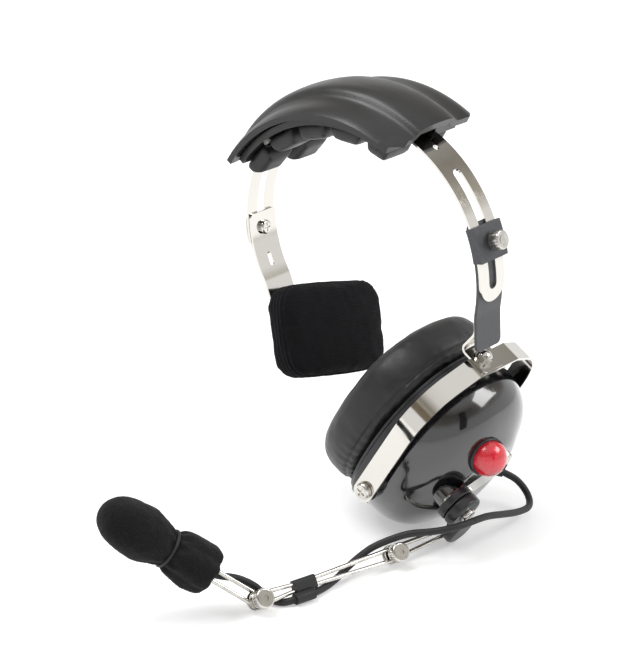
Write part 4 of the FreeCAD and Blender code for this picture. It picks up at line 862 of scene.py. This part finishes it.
class HeadsetLooks(bpy.types.PropertyGroup):
    """Colours and strengths that a user may change."""

    chrome_colour: tint("Chrome", "Colour of the plated strips", (0.66, 0.64, 0.6))
    chrome_roughness: bpy.props.FloatProperty(name="Chrome roughness", subtype="FACTOR",
                                              description="Roughness of the plated strips", default=0.07,
                                              min=0.0, max=0.5)
    dark_steel_colour: tint("Dark steel", "Colour of the blackened hanger strip", (0.075, 0.077, 0.083))
    crown_colour: tint("Crown", "Colour of the crown pad", (0.017, 0.017, 0.0175))
    plastic_colour: tint("Plastic", "Colour of the satin mouldings", (0.018, 0.018, 0.02))
    shell_colour: tint("Shell", "Colour of the glossy shell", (0.006, 0.006, 0.007))
    button_colour: tint("Button", "Colour of the talk button", (0.72, 0.012, 0.03))
    leather_colour: tint("Leatherette", "Colour of the ear cushion", (0.013, 0.013, 0.0145))
    knit_colour: tint("Knit", "Colour of the temple cushion's cover", (0.007, 0.007, 0.0085))
    foam_colour: tint("Foam", "Colour of the microphone muff", (0.006, 0.006, 0.007))
    jacket_colour: tint("Jacket", "Colour of the lead", (0.018, 0.018, 0.019))
    pad_pressure: bpy.props.FloatProperty(name="Pad pressure", description="Pressure that fills the cushions",
                                          default=4.0, min=0.0, max=10.0)
    key_light: bpy.props.FloatProperty(name="Key light", description="Power of the lamp above the left side",
                                       default=22.0, min=0.0, unit="POWER")
    rear_light: bpy.props.FloatProperty(name="Rear light", description="Power of the lamp behind the cup",
                                        default=12.0, min=0.0, unit="POWER")
    room_light: bpy.props.FloatProperty(name="Room light", description="Strength of the soft room light",
                                        default=0.75, min=0.0, max=4.0)


class HEADSET_OT_metal(bpy.types.Operator):
    """Finish the chrome, steel and blackened pieces"""

    bl_idname = "headset.metal"
    bl_label = "Metal pieces"

    def execute(self, context):
        dress(STEEL_NODES, context.scene.headset_looks)
        shorten_spring()
        return {"FINISHED"}


class HEADSET_OT_mouldings(bpy.types.Operator):
    """Finish the plastic and rubber pieces"""

    bl_idname = "headset.mouldings"
    bl_label = "Mouldings"

    def execute(self, context):
        dress(PLASTIC_NODES, context.scene.headset_looks)
        return {"FINISHED"}


class HEADSET_OT_crown_blocks(bpy.types.Operator):
    """Make the soft blocks under the crown"""

    bl_idname = "headset.crown_blocks"
    bl_label = "Crown blocks"

    def execute(self, context):
        make_crown_blocks(context.scene.headset_looks)
        return {"FINISHED"}


class HEADSET_OT_temple_cushion(bpy.types.Operator):
    """Make the knit cushion of the temple pad"""

    bl_idname = "headset.temple_cushion"
    bl_label = "Temple cushion"

    def execute(self, context):
        make_temple_cushion(context.scene.headset_looks)
        return {"FINISHED"}


class HEADSET_OT_ear_cushion(bpy.types.Operator):
    """Make the leatherette ear cushion and the cloth and foam inside the cup"""

    bl_idname = "headset.ear_cushion"
    bl_label = "Ear cushion and inner cloth"

    def execute(self, context):
        looks = context.scene.headset_looks
        make_ear_cushion(looks)
        make_ear_cloth(looks)
        make_foam_liner(looks)
        return {"FINISHED"}


class HEADSET_OT_muff(bpy.types.Operator):
    """Make the microphone's foam muff"""

    bl_idname = "headset.muff"
    bl_label = "Microphone muff"

    def execute(self, context):
        make_muff(context.scene.headset_looks)
        return {"FINISHED"}


class HEADSET_OT_lead(bpy.types.Operator):
    """Lay the lead from the cup to the microphone"""

    bl_idname = "headset.lead"
    bl_label = "Lead"

    def execute(self, context):
        make_lead(context.scene.headset_looks)
        return {"FINISHED"}


class HEADSET_OT_stage(bpy.types.Operator):
    """Set up the floor, the light and the camera"""

    bl_idname = "headset.stage"
    bl_label = "Studio"

    def execute(self, context):
        make_stage(context.scene.headset_looks)
        return {"FINISHED"}


STEPS = (HEADSET_OT_metal, HEADSET_OT_mouldings, HEADSET_OT_lead, HEADSET_OT_crown_blocks,
         HEADSET_OT_temple_cushion, HEADSET_OT_ear_cushion, HEADSET_OT_muff, HEADSET_OT_stage)


class HEADSET_PT_panel(bpy.types.Panel):
    """Lists the headset's pieces and their settings"""

    bl_idname = "HEADSET_PT_panel"
    bl_label = "Headset"
    bl_space_type = "VIEW_3D"
    bl_region_type = "UI"
    bl_category = "Headset"

    def draw(self, context):
        column = self.layout.column()
        for step in STEPS:
            column.operator(step.bl_idname)
        for name in HeadsetLooks.__annotations__:
            column.prop(context.scene.headset_looks, name)


CLASSES = (HeadsetLooks, *STEPS, HEADSET_PT_panel)


def register():
    for kind in CLASSES:
        bpy.utils.register_class(kind)
    bpy.types.Scene.headset_looks = bpy.props.PointerProperty(type=HeadsetLooks)


def unregister():
    del bpy.types.Scene.headset_looks
    for kind in reversed(CLASSES):
        bpy.utils.unregister_class(kind)


def main():
    register()
    bpy.ops.headset.metal()
    bpy.ops.headset.mouldings()
    bpy.ops.headset.lead()
    bpy.ops.headset.crown_blocks()
    bpy.ops.headset.temple_cushion()
    bpy.ops.headset.ear_cushion()
    bpy.ops.headset.muff()
    bpy.ops.headset.stage()


if __name__ == "__main__":
    main()
